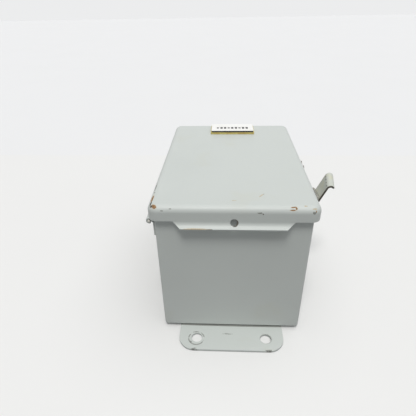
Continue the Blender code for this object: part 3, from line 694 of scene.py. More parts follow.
LABEL_BLACK = Plastic("label_black", "label_plastic", (0.012, 0.011, 0.012), (0.025, 0.022, 0.022), 0.38)
TERMINAL_GREY = Plastic("terminal_grey", "terminal_plastic", (0.33, 0.345, 0.35), (0.30, 0.31, 0.29), 0.42)
EARTH_GREEN = Plastic("earth_green", "earth_green", (0.05, 0.22, 0.07), (0.07, 0.22, 0.05), 0.40)
END_BLACK = Plastic("end_black", "end_plastic", (0.035, 0.036, 0.040), (0.06, 0.06, 0.06), 0.45)
MARKER_WHITE = Plastic("marker_white", "terminal_plastic", (0.78, 0.78, 0.75), (0.72, 0.70, 0.62), 0.40)
GREEN_SCREW = Plastic("green_screw_coat", "earth_green", (0.06, 0.26, 0.09), (0.05, 0.16, 0.06), 0.30)


# -------------------------------------------------------------------- workshop


def arc(centre: Point2, radius: float, start: float, end: float, steps: int) -> list[Point2]:
    """Points along an arc, both ends included.

    Args:
        centre: The arc's centre.
        radius: Its radius.
        start: Its first angle, in degrees.
        end: Its last angle, in degrees.
        steps: How many stretches it has.

    Returns:
        The points in order.
    """
    angles = [math.radians(start + (end - start) * i / steps) for i in range(steps + 1)]
    return [(centre[0] + radius * math.cos(a), centre[1] + radius * math.sin(a)) for a in angles]


def bent(corners: Sequence[Point2], radius: float, steps: int = 5) -> list[Point2]:
    """A path whose inner corners are rounded, as a press brake leaves them.

    Args:
        corners: The path's ends and sharp corners.
        radius: The bend radius on the path.
        steps: How many stretches each bend has.

    Returns:
        The bent path.
    """
    path = [corners[0]]
    for before, corner, after in zip(corners, corners[1:], corners[2:]):
        here = Vector(corner)
        back = (Vector(before) - here).normalized()
        ahead = (Vector(after) - here).normalized()
        half = back.angle(ahead) / 2
        start = here + back * (radius / math.tan(half))
        end = here + ahead * (radius / math.tan(half))
        centre = here + (back + ahead).normalized() * (radius / math.sin(half))
        first, last = (math.degrees(math.atan2(*(p - centre).yx)) for p in (start, end))
        turn = (last - first + 180) % 360 - 180
        path += arc(tuple(centre), radius, first, first + turn, steps)
    path.append(corners[-1])
    return path


def axis_turn(axis: str) -> Matrix:
    """Return the turn that lays a thing built about Z along another axis."""
    turns = {"X": Matrix.Rotation(math.pi / 2, 4, "Y"), "Y": Matrix.Rotation(-math.pi / 2, 4, "X")}
    return turns.get(axis, Matrix.Identity(4))


class Workpiece:
    """A piece in the making, with the steps that a metal or plastics shop would take."""

    def __init__(self) -> None:
        """Start with an empty mesh."""
        self.bm = bmesh.new()

    def block(self, low: Sequence[float], high: Sequence[float]) -> "Workpiece":
        """Add a block between two corners and return the workpiece."""
        middle = [(a + b) / 2 for a, b in zip(low, high)]
        size = [b - a for a, b in zip(low, high)]
        matrix = Matrix.Translation(middle) @ Matrix.Diagonal((*size, 1))
        bmesh.ops.create_cube(self.bm, size=1, matrix=matrix)
        return self

    def block_about(self, middle: Vector, half: Vector) -> "Workpiece":
        """Add a block of these half lengths about a middle and return the workpiece."""
        return self.block(middle - half, middle + half)

    def bar(
        self, radius: float, length: float, centre: Sequence[float], axis: str, steps: int
    ) -> "Workpiece":
        """Add a round or many-sided bar.

        Args:
            radius: Its radius.
            length: Its length.
            centre: Its middle.
            axis: The axis it lies along.
            steps: How many sides it has.

        Returns:
            The workpiece.
        """
        bmesh.ops.create_cone(
            self.bm, cap_ends=True, segments=steps, radius1=radius, radius2=radius,
            depth=length, matrix=Matrix.Translation(centre) @ axis_turn(axis),
        )
        return self

    def round_edges(self, radius: float, steps: int, test: EdgeTest | None = None) -> "Workpiece":
        """Round the edges that a test picks.

        Args:
            radius: How far the rounding reaches.
            steps: How many stretches it has.
            test: Which edges to round, or None for all.

        Returns:
            The workpiece.
        """
        bmesh.ops.bevel(
            self.bm, geom=[e for e in self.bm.edges if test is None or test(e)], offset=radius,
            segments=steps, profile=0.5, affect="EDGES", material=-1, clamp_overlap=True,
        )
        return self

    def pull(
        self, edges: Sequence[bmesh.types.BMEdge], move: Callable[[Vector], None]
    ) -> list[bmesh.types.BMEdge]:
        """Extrude edges and move their new points.

        Args:
            edges: The edges to draw out.
            move: Moves one new point.

        Returns:
            The new outer edges.
        """
        made = bmesh.ops.extrude_edge_only(self.bm, edges=list(edges))["geom"]
        points = {g for g in made if isinstance(g, bmesh.types.BMVert)}
        for point in points:
            move(point.co)
        return [
            g for g in made if isinstance(g, bmesh.types.BMEdge) and all(v in points for v in g.verts)
        ]

    def strip(self, path: Sequence[Point2], width: Callable[[float], float] | float) -> "Workpiece":
        """Add an open sheet, wide along Y, that follows a path.

        Args:
            path: The path, as (x, z).
            width: The strip's width, or its width at each distance from its far end.

        Returns:
            The workpiece.
        """
        gaps = [math.dist(a, b) for a, b in zip(path, path[1:])]
        left = sum(gaps)

        def across(place: Point2, side: float) -> Vector:
            """Return one edge point of the strip."""
            reach = side * (width(left) if callable(width) else width) / 2
            return Vector((place[0], reach, place[1]))

        ends = [self.bm.verts.new(across(path[0], side)) for side in SIDES]
        edges = [self.bm.edges.new(ends)]
        for place, gap in zip(path[1:], gaps):
            left -= gap

            def move(point: Vector) -> None:
                """Put a new edge point at this place on the path."""
                point[:] = across(place, 1 if point.y > 0 else -1)

            edges = self.pull(edges, move)
        return self

    def turned(self, profile: Sequence[Point2], steps: int = 32) -> "Workpiece":
        """Turn a profile about Z.

        Args:
            profile: Its points as (radius, height), from the top to the bottom.
            steps: How many stretches a full turn has.

        Returns:
            The workpiece.
        """
        points = [self.bm.verts.new((r, 0, z)) for r, z in profile]
        edges = [self.bm.edges.new(pair) for pair in zip(points, points[1:])]
        bmesh.ops.spin(
            self.bm, geom=points + edges, cent=(0, 0, 0), axis=(0, 0, 1), dvec=(0, 0, 0),
            angle=2 * math.pi, steps=steps, use_merge=True, use_duplicate=False,
        )
        bmesh.ops.remove_doubles(self.bm, verts=self.bm.verts, dist=0.001 * MM)
        return self.tidy()

    def outline(self, corners: Sequence[Point2], thickness: float) -> "Workpiece":
        """Add a slab with this outline, centred on its own plane.

        Args:
            corners: The outline, in order.
            thickness: The slab's thickness.

        Returns:
            The workpiece.
        """
        points = [self.bm.verts.new((x, y, -thickness / 2)) for x, y in corners]
        face = self.bm.faces.new(points)
        made = bmesh.ops.extrude_face_region(self.bm, geom=[face])["geom"]
        top = [g for g in made if isinstance(g, bmesh.types.BMVert)]
        bmesh.ops.translate(self.bm, vec=(0, 0, thickness), verts=top)
        return self.tidy()

    def tidy(self) -> "Workpiece":
        """Face every closed surface outwards and return the workpiece."""
        bmesh.ops.recalc_face_normals(self.bm, faces=self.bm.faces[:])
        return self

    def moved(self, matrix: Matrix) -> "Workpiece":
        """Move every point and return the workpiece."""
        bmesh.ops.transform(self.bm, matrix=matrix, verts=self.bm.verts[:])
        return self

    def added(self, other: "Workpiece", places: Iterable[Matrix] = (Matrix(),)) -> "Workpiece":
        """Add copies of another workpiece.

        Args:
            other: The workpiece to copy.
            places: Where each copy goes.

        Returns:
            The workpiece.
        """
        mesh = bpy.data.meshes.new("copy")
        other.bm.to_mesh(mesh)
        for place in places:
            copy = mesh.copy()
            copy.transform(place)
            self.bm.from_mesh(copy)
            bpy.data.meshes.remove(copy)
        bpy.data.meshes.remove(mesh)
        return self

    def _through(self, kind: str, settings: Mapping[str, object]) -> "Workpiece":
        """Run the mesh through one modifier.

        Args:
            kind: The modifier's type.
            settings: Its settings.

        Returns:
            The workpiece.
        """
        holder = new_object("bench", bpy.data.meshes.new("bench"))
        self.bm.to_mesh(holder.data)
        modifier = holder.modifiers.new(kind, kind)
        for name, value in settings.items():
            setattr(modifier, name, value)
        graph = bpy.context.evaluated_depsgraph_get()
        done = bpy.data.meshes.new_from_object(holder.evaluated_get(graph))
        self.bm.clear()
        self.bm.from_mesh(done)
        old = holder.data
        bpy.data.objects.remove(holder)
        for mesh in (done, old):
            bpy.data.meshes.remove(mesh)
        return self

    def sheet(self, thickness: float, offset: float = -1.0) -> "Workpiece":
        """Give an open surface its sheet thickness, inwards at -1 and evenly at 0."""
        settings = {"thickness": thickness, "offset": offset, "use_even_offset": True}
        return self._through("SOLIDIFY", settings)

    def soften(self, radius: float, steps: int = 2, angle: float = 40.0) -> "Workpiece":
        """Break the sharp edges, those over an angle in degrees."""
        settings = {
            "width": radius, "segments": steps, "limit_method": "ANGLE",
            "angle_limit": math.radians(angle), "use_clamp_overlap": True, "miter_outer": "MITER_ARC",
        }
        return self._through("BEVEL", settings)

    def combined(self, other: "Workpiece", operation: str) -> "Workpiece":
        """Cut, join or intersect with another workpiece, which is used up.

        Args:
            other: The other workpiece.
            operation: DIFFERENCE, UNION or INTERSECT.

        Returns:
            The workpiece.
        """
        mesh = bpy.data.meshes.new("tool")
        other.bm.to_mesh(mesh)
        other.bm.free()
        tool = new_object("tool", mesh)
        settings = {"operation": operation, "solver": "EXACT", "object": tool}
        self._through("BOOLEAN", settings)
        bpy.data.objects.remove(tool)
        bpy.data.meshes.remove(mesh)
        bmesh.ops.remove_doubles(self.bm, verts=self.bm.verts, dist=WELD)
        bmesh.ops.dissolve_degenerate(self.bm, dist=WELD, edges=self.bm.edges[:])
        return self

    def cut(self, other: "Workpiece") -> "Workpiece":
        """Cut another workpiece's shape out."""
        return self.combined(other, "DIFFERENCE")

    def drilled(
        self, radius: float, places: Iterable[Sequence[float]], axis: str = "X", steps: int = 20,
        reach: float = 8 * MM,
    ) -> "Workpiece":
        """Cut round holes.

        Args:
            radius: Their radius.
            places: The middles of their cutters.
            axis: The axis they lie along.
            steps: How many sides they have.
            reach: How long their cutters are.

        Returns:
            The workpiece.
        """
        for place in places:
            self.cut(Workpiece().bar(radius, reach, place, axis, steps))
        return self

    def finished(
        self, name: str, body: str, finish: Finish, stands_for: Iterable[str] = ()
    ) -> None:
        """Make the workpiece a piece of the visual model.

        Args:
            name: The piece's name.
            body: The body it rides on.
            finish: Its finish.
            stands_for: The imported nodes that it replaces.
        """
        mesh = bpy.data.meshes.new(name)
        self.bm.to_mesh(mesh)
        self.bm.free()
        mesh.shade_smooth()
        mesh.set_sharp_from_angle(angle=SHARP)
        mesh.materials.append(material_of(finish))
        piece = new_object(name, mesh)
        normals = piece.modifiers.new("flat faces lead", "WEIGHTED_NORMAL")
        normals.keep_sharp = True
        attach(piece, body)
        for node in stands_for:
            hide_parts(node)
        LOG.info("%s: %d faces on %s", name, len(mesh.polygons), body)


def middle_of(node: str) -> Vector:
    """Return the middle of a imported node's box."""
    low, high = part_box(node)
    return (low + high) / 2


def joint_place(name: str) -> Vector:
    """Return the point that a joint turns about."""
    return Vector(next(j["pos_m"] for j in frame["joints"] if j["name"] == name))


# ---------------------------------------------------------------- sub-assemblies


@dataclass
class Enclosure:
    """The welded box, its two mounting feet and their finish."""

    sheet: float = 1.5 * MM
    bend: float = 2.0 * MM
    rim: float = 8.0 * MM
    foot_corner: float = 11.5 * MM
    foot_hole: float = 3.95 * MM
    foot_hole_spacing: float = 50.8 * MM
    foot_hole_in: float = 10.5 * MM

    def build(self) -> None:
        """Build the box and its feet."""
        self.shell()
        for node, side in (("foot_front", -1), ("foot_rear", 1)):
            self.foot(node, side)

    def shell(self) -> None:
        """Build the five-sided box, with the rim rolled inwards round its opening."""
        low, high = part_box("body_shell")
        work = Workpiece().block(low, high).round_edges(self.bend, 5)
        top = max(work.bm.faces, key=lambda face: face.calc_center_median().z)
        bmesh.ops.inset_region(work.bm, faces=[top], thickness=self.rim - self.bend)
        bmesh.ops.delete(work.bm, geom=[top], context="FACES")
        work.sheet(self.sheet)
        work.drilled(RIVET_HOLE, map(middle_of, BRACKET_RIVETS), reach=10 * MM)
        work.soften(0.25 * MM)
        work.finished("welded_box", "enclosure", BODY_PAINT, ["body_shell"])

    def foot(self, node: str, side: int) -> None:
        """Build one foot: a strap with round free corners and two screw holes.

        Args:
            node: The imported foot.
            side: 1 at the far end of the box and -1 at the near end.
        """
        low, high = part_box(node)
        end = high.y if side > 0 else low.y
        strap = Workpiece().block(low, high).round_edges(
            self.foot_corner, 14, lambda e: UPRIGHT(e) and abs(e.verts[0].co.y - end) < MM
        )
        middle, half = middle_of(node), self.foot_hole_spacing / 2
        holes = [(middle.x + x * half, end - side * self.foot_hole_in, middle.z) for x in SIDES]
        strap.drilled(self.foot_hole, holes, "Z", 48, 6 * MM).soften(0.3 * MM)
        strap.finished(f"{node}_strap", "enclosure", FOOT_PAINT, [node])


@dataclass
class Cover:
    """The pan-shaped cover with its flared end lips, gasket, strike and name plate."""

    sheet: float = 1.5 * MM
    corner: float = 6.0 * MM
    bend: float = 4.5 * MM
    flange: float = 10.3 * MM
    lip_top: float = 76.6 * MM
    lip_edge: float = 66.6 * MM
    lip_length: float = 5.2 * MM
    lip_bend: float = 3.6 * MM
    lip_flare: float = 66.0
    lip_hole: float = 2.1 * MM
    gasket_width: float = 9.0 * MM
    gasket_corner: float = 5.0 * MM
    gasket_joint: float = 14.0 * MM
    strike_sheet: float = 1.2 * MM
    tape_sway: float = 0.10 * MM
    plate_corner: float = 0.8 * MM
    plate_face: float = 0.22 * MM
    marks_in_row: int = 9
    mark_pitch: float = 3.35 * MM
    mark_width: float = 2.1 * MM
    mark_height: float = 5.0 * MM
    marks_aside: float = 1.6 * MM

    def build(self) -> None:
        """Build the cover and what rides on it."""
        self.pan()
        self.gasket()
        self.strike()
        self.name_plate()

    def pan(self) -> None:
        """Build the pan: folded, its corners welded round, with a flared lip on each end."""
        low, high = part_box("cover")
        body_low, body_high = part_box("body_shell")
        middle = middle_of("body_shell")
        overhang = body_low.x - low.x
        ends = {side: side * ((body_high.y - body_low.y) / 2 + overhang) for side in SIDES}
        bottom = high.z - self.flange
        work = Workpiece().block((low.x, ends[-1], bottom), (high.x, ends[1], high.z))
        work.round_edges(self.corner, 10, UPRIGHT)
        work.round_edges(self.bend, 6, lambda e: all(v.co.z > high.z - MM for v in e.verts))
        floor = min(work.bm.faces, key=lambda face: face.calc_center_median().z)
        bmesh.ops.delete(work.bm, geom=[floor], context="FACES")
        half = self.lip_top / 2
        for x in (-half, 0, half):
            everything = work.bm.verts[:] + work.bm.edges[:] + work.bm.faces[:]
            at = (middle.x + x, 0, 0)
            bmesh.ops.bisect_plane(work.bm, geom=everything, plane_co=at, plane_no=(1, 0, 0))
        for side, end in ends.items():
            self.flare(work, side, end, middle.x, bottom)
        work.sheet(self.sheet)
        tilt = math.radians(self.lip_flare / 2)
        for side, end in ends.items():
            tool = Workpiece().bar(self.lip_hole, 8 * MM, (0, 0, 0), "Y", 36)
            at = Matrix.Translation((middle.x, end, bottom - 0.5 * MM))
            work.cut(tool.moved(at @ Matrix.Rotation(side * tilt, 4, "X")))
        work.drilled(RIVET_HOLE, map(middle_of, STRIKE_RIVETS)).soften(0.25 * MM)
        work.finished("cover_pan", "cover", COVER_PAINT, ["cover"])

    def flare(self, work: Workpiece, side: int, end: float, centre: float, bottom: float) -> None:
        """Draw the middle of one end flange's edge down and out, narrowing as it goes.

        Args:
            work: The pan, still an open surface.
            side: 1 at the far end and -1 at the near end.
            end: That end's y.
            centre: The pan's middle, along X.
            bottom: The flange's lower edge.
        """
        half = self.lip_top / 2 + 0.1 * MM
        edges = [
            e for e in work.bm.edges
            if e.is_boundary and all(
                abs(v.co.y - end) < 0.1 * MM and abs(v.co.x - centre) < half
                and abs(v.co.z - bottom) < 0.1 * MM for v in e.verts
            )
        ]
        flare = math.radians(self.lip_flare)
        bends = 8
        length = self.lip_bend * flare / bends
        steps = [(flare * (i + 0.5) / bends, length) for i in range(bends)]
        steps.append((flare, self.lip_length - self.lip_bend * flare))
        done, width = 0.0, 1.0
        for heading, length in steps:
            done += length
            share = 1 - (1 - self.lip_edge / self.lip_top) * done / self.lip_length
            ratio = share / width

            def move(point: Vector, ratio: float = ratio, heading: float = heading,
                     length: float = length) -> None:
                """Move one edge point down, out and towards the middle."""
                point.x = centre + (point.x - centre) * ratio
                point.y += side * length * math.sin(heading)
                point.z -= length * math.cos(heading)

            edges = work.pull(edges, move)
            width = share

    def gasket(self) -> None:
        """Build the sponge ring glued inside the pan, with its butt joint."""
        low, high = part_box("gasket")
        work = Workpiece().block(low, high).round_edges(self.gasket_corner, 6, UPRIGHT)
        inset = Vector((self.gasket_width, self.gasket_width, -MM))
        hollow = Workpiece().block(low + inset, high - inset)
        work.cut(hollow.round_edges(self.gasket_corner, 6, UPRIGHT))
        middle = (low.x + high.x) / 2
        joint = Vector((middle + self.gasket_joint, high.y - self.gasket_width / 2, low.z))
        slit = Vector((0.15 * MM, self.gasket_width, 0.8 * MM))
        work.cut(Workpiece().block_about(joint, slit))
        work.soften(0.9 * MM, 3)
        work.finished("sponge_gasket", "cover", GASKET_FOAM, ["gasket"])

    def strike(self) -> None:
        """Build the strike that hangs from the latch side's flange, with its two rivets."""
        low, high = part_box("strike_plate")
        half = self.strike_sheet / 2
        corners = [(low.x + half, high.z), (low.x + half, low.z + half), (high.x, low.z + half)]
        work = Workpiece().strip(bent(corners, 1.3 * MM), high.y - low.y).sheet(2 * half, 0.0)
        for rivet in STRIKE_RIVETS:
            Hardware().rivet(rivet, "cover", axis_turn("X"), 0.35 * MM)
        work.drilled(RIVET_HOLE, map(middle_of, STRIKE_RIVETS)).soften(0.2 * MM)
        work.finished("strike_angle", "cover", DULL_ZINC, ["strike_plate"])

    def name_plate(self) -> None:
        """Build the plate, its white face cut through to the black core, on its foam tape."""
        low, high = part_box("label_tape")
        tape = Workpiece().block(low, high).round_edges(self.plate_corner, 4, UPRIGHT)
        bmesh.ops.subdivide_edges(tape.bm, edges=tape.bm.edges[:], cuts=6, use_grid_fill=True)
        middle = Vector((*middle_of("label_tape").xy, 0))
        for vert in tape.bm.verts:
            sway = math.sin(vert.co.x * 900) + math.sin(vert.co.y * 1300 + vert.co.z * 2500)
            away = Vector((*vert.co.xy, 0)) - middle
            vert.co -= away.normalized() * abs(sway) * self.tape_sway
        tape.finished("foam_tape", "cover", TAPE_FOAM, ["label_tape"])
        low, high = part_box("label_plate")
        split = high.z - self.plate_face
        core = Workpiece().block(low, (high.x, high.y, split))
        core.round_edges(self.plate_corner, 4, UPRIGHT)
        core.finished("plate_core", "cover", LABEL_BLACK, ["label_plate"])
        face = Workpiece().block((low.x, low.y, split), high)
        face.round_edges(self.plate_corner, 4, runs_along(2, 0.1 * MM))
        face.cut(self.marks(low, high, split)).soften(0.12 * MM)
        face.finished("plate_face", "cover", LABEL_WHITE, ["label_plate"])

    def marks(self, low: Vector, high: Vector, depth: float) -> Workpiece:
        """Cutters for the plate's plain row of blocks, which says nothing.

        Args:
            low: The plate's lowest corner.
            high: The plate's highest corner.
            depth: How deep they are cut, as a height.

        Returns:
            The cutters.
        """
        tools = Workpiece()
        middle = (low + high) / 2
        first = middle.x - self.mark_pitch * (self.marks_in_row - 1) / 2
        for i in range(self.marks_in_row):
            x, y = first + i * self.mark_pitch, middle.y - self.marks_aside
            size = Vector((self.mark_width / 2, self.mark_height / (2 if i % 3 else 3.2), 0))
            base = Vector((x, y, depth - 0.02 * MM))
            tools.block(base - size, Vector((x, y, high.z + MM)) + size)
        return tools


@dataclass
class Hardware:
    """Rivets, pins, studs, nuts and screws."""

    rivet_head: float = 2.2 * MM
    rivet_shank: float = 1.2 * MM
    rivet_tail: float = 1.7 * MM
    rivet_tail_height: float = 0.6 * MM
    thread_pitch: float = 0.8 * MM
    stud_radius: float = 2.4 * MM
    stud_collar: float = 4.5 * MM
    collar_height: float = 6.0 * MM
    nut_bore: float = 2.45 * MM
    screw_head: float = 3.6 * MM
    screw_head_height: float = 2.2 * MM
    screw_shank: float = 1.9 * MM
    recess_turn: float = 20.0

    def build(self) -> None:
        """Build the fixings inside the box and the rivets of the latch's bracket."""
        for i in (1, 2, 3, 4):
            self.stud(f"panel_stud_{i}")
            self.nut(f"panel_nut_{i}")
        for rivet, screw in zip(BRACKET_RIVETS, RAIL_SCREWS):
            self.rivet(rivet, "enclosure", axis_turn("X"))
            self.screw(screw, ZINC, True)
        self.screw("ground_screw", GREEN_SCREW, False)

    def rivet(self, node: str, body: str, turn: Matrix, dome: float = 0.9 * MM) -> None:
        """Build a domed rivet over a packed one.

        Args:
            node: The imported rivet.
            body: The body it rides on.
            turn: The turn that takes Z to its head's direction.
            dome: How high its domed head stands, in metres.
        """
        middle = middle_of(node)
        back = turn.to_3x3().inverted()
        spots = [back @ (v.co - middle) for v in frame["nodes"][node].data.vertices]
        top, bottom = max(s.z for s in spots), min(s.z for s in spots)
        centre = sum(((s - Vector((0, 0, s.z))) for s in spots), Vector()) / len(spots)
        angles = [i * math.pi / 16 for i in range(9)]
        seat, foot, tail = top - dome, bottom + self.rivet_tail_height, self.rivet_tail
        profile = [(self.rivet_head * math.sin(a), seat + dome * math.cos(a)) for a in angles]
        profile += [(self.rivet_shank, seat), (self.rivet_shank, foot), (tail, foot)]
        profile += [(tail * 0.8, bottom + 0.1 * MM), (tail * 0.5, bottom), (0, bottom)]
        work = Workpiece().turned(profile, 28)
        work.moved(Matrix.Translation(middle + turn.to_3x3() @ centre) @ turn)
        work.finished(f"{node}_head", body, DULL_ZINC, [node])

    def thread(self, radius: float, top: float, bottom: float) -> list[Point2]:
        """Return the ridged profile of a thread between two heights, from the top down."""
        ridges = int((top - bottom) / self.thread_pitch)
        pitch = (top - bottom) / ridges
        profile = [(radius * 0.82, top + 0.35 * MM)]
        for i in range(ridges):
            start = top - i * pitch
            profile += [(radius * 0.86, start), (radius, start - pitch * 0.42)]
            profile.append((radius, start - pitch * 0.58))
        return profile + [(radius * 0.86, bottom)]

    def stud(self, node: str) -> None:
        """Build a threaded weld stud with its collar."""
        low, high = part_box(node)
        middle, collar_top = middle_of(node), low.z + self.collar_height
        collar, radius = self.stud_collar, self.stud_radius
        profile = [(0, high.z), (radius * 0.7, high.z)]
        profile += self.thread(radius, high.z - 0.5 * MM, collar_top)
        profile += [(collar - 0.4 * MM, collar_top), (collar, collar_top - 0.4 * MM)]
        profile += [(collar, low.z + 0.5 * MM), (collar + 0.3 * MM, low.z), (0, low.z)]
        work = Workpiece().turned(profile, 36)
        work.moved(Matrix.Translation((middle.x, middle.y, 0)))
        work.finished(f"{node}_threaded", "enclosure", ZINC, [node])

    def nut(self, node: str) -> None:
        """Build a chamfered hexagon nut."""
        low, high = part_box(node)
        middle, height = middle_of(node), high.z - low.z
        radius = (high.x - low.x) / 2
        work = Workpiece().bar(radius, height, (0, 0, 0), "Z", 6)
        cone = [(0, 0.5), (0.84, 0.5), (1.01, 0.36), (1.01, -0.36), (0.84, -0.5), (0, -0.5)]
        work.combined(
            Workpiece().turned([(radius * r, height * z) for r, z in cone], 48), "INTERSECT"
        )
        work.drilled(self.nut_bore, [(0, 0, 0)], "Z", 36, 2 * height)
        work.soften(0.1 * MM, angle=50).moved(Matrix.Translation(middle))
        work.finished(f"{node}_hexagon", "enclosure", ZINC, [node])

    def screw(self, node: str, finish: Finish, crossed: bool) -> None:
        """Build a pan-head screw with a cross or a plain slot.

        Args:
            node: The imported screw.
            finish: Its finish.
            crossed: Whether its recess is a cross.
        """
        low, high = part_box(node)
        middle = middle_of(node)
        head, seat = self.screw_head, high.z - self.screw_head_height
        profile = [(0, high.z), (head * 0.5, high.z - 0.1 * MM), (head * 0.8, high.z - 0.45 * MM)]
        profile += [(head * 0.96, high.z - 1.1 * MM), (head, high.z - 1.7 * MM), (head, seat)]
        profile += self.thread(self.screw_shank, seat - 0.4 * MM, low.z) + [(0, low.z)]
        work = Workpiece().turned(profile, 40)
        for turn in (0, 90) if crossed else (0,):
            reach = 1.9 * MM if crossed else head * 1.1
            size = Vector((reach, 0.42 * MM, 0.9 * MM))
            spin = Matrix.Rotation(math.radians(turn + self.recess_turn), 4, "Z")
            tool = Workpiece().block(-size, size)
            work.cut(tool.moved(Matrix.Translation((0, 0, high.z)) @ spin))
        work.moved(Matrix.Translation((middle.x, middle.y, 0)))
        work.finished(f"{node}_head", "enclosure", finish, [node])


@dataclass
class Hinge:
    """The continuous hinge: two leaves with rolled knuckles, and the pin that they share."""

    knuckles: int = 11
    gap: float = 0.4 * MM
    sheet: float = 1.0 * MM
    roll: float = 1.6 * MM
    leaf_end: float = 11.1 * MM
    leaf_start: float = 2.6 * MM
    body_leaf_out: float = 2.9 * MM
    cover_leaf_out: float = 2.45 * MM

    def build(self) -> None:
        """Build both leaves and the pin."""
        self.leaf("hinge_leaf_body", "enclosure", -1, 0, self.body_leaf_out)
        self.leaf("hinge_leaf_cover", "cover", 1, 1, self.cover_leaf_out)
        self.pin()

    def leaf(self, node: str, body: str, up: int, first: int, out: float) -> None:
        """Build one leaf from a flat strip, with every second knuckle rolled from it.

        Args:
            node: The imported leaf.
            body: The body it rides on.
            up: 1 where the leaf stands above the pin and -1 where it hangs below.
            first: Its first knuckle's number.
            out: How far the leaf's middle lies from the pin, towards the box.
        """
        axis = joint_place("cover_hinge")
        low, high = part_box(node)
        half, pitch = (high.y - low.y) / 2, (high.y - low.y) / self.knuckles
        own = [
            (-half + i * pitch + self.gap / 2, -half + (i + 1) * pitch - self.gap / 2)
            for i in range(first, self.knuckles, 2)
        ]
        marks = sorted({-half, half} | {y for pair in own for y in pair})
        work = Workpiece()
        row = [work.bm.verts.new((out, y, up * self.leaf_end)) for y in marks]
        edges = [work.bm.edges.new(pair) for pair in zip(row, row[1:])]
        down = up * (self.leaf_start - self.leaf_end)

        def drop(point: Vector) -> None:
            """Move one point to the leaf's end by the pin."""
            point.z += down

        edges = work.pull(edges, drop)
        rolled = [
            e for e in edges
            if any(a - 0.01 * MM < sum(v.co.y for v in e.verts) / 2 < b + 0.01 * MM for a, b in own)
        ]
        # In from the leaf's flat part, and then round the pin.
        path = [(out, 1.9 * MM), (out * 0.90, 0.95 * MM), (out * 0.5 + 0.35 * MM, 0.1 * MM)]
        path += arc((0, 0), self.roll, -20, -298, 22)
        for x, z in path:

            def place(point: Vector, x: float = x, z: float = z) -> None:
                """Put one point on the rolled path."""
                point.x, point.z = x, up * z

            rolled = work.pull(rolled, place)
        work.tidy().sheet(self.sheet, 0.0).soften(0.12 * MM)
        work.moved(Matrix.Translation((axis.x, 0, axis.z)))
        work.finished(f"{node}_rolled", body, LEAF_PAINT, [node])

    def pin(self) -> None:
        """Build the pin with its chamfered ends."""
        low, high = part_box("hinge_pin")
        middle, radius = middle_of("hinge_pin"), (high.x - low.x) / 2
        half = (high.y - low.y) / 2
        profile = [(0, half), (radius * 0.6, half), (radius, half - 0.35 * MM)]
        profile += [(r, -z) for r, z in reversed(profile)]
        work = Workpiece().turned(profile, 28).moved(Matrix.Translation(middle) @ axis_turn("Y"))
        work.finished("hinge_pin_rod", "enclosure", DULL_ZINC, ["hinge_pin"])


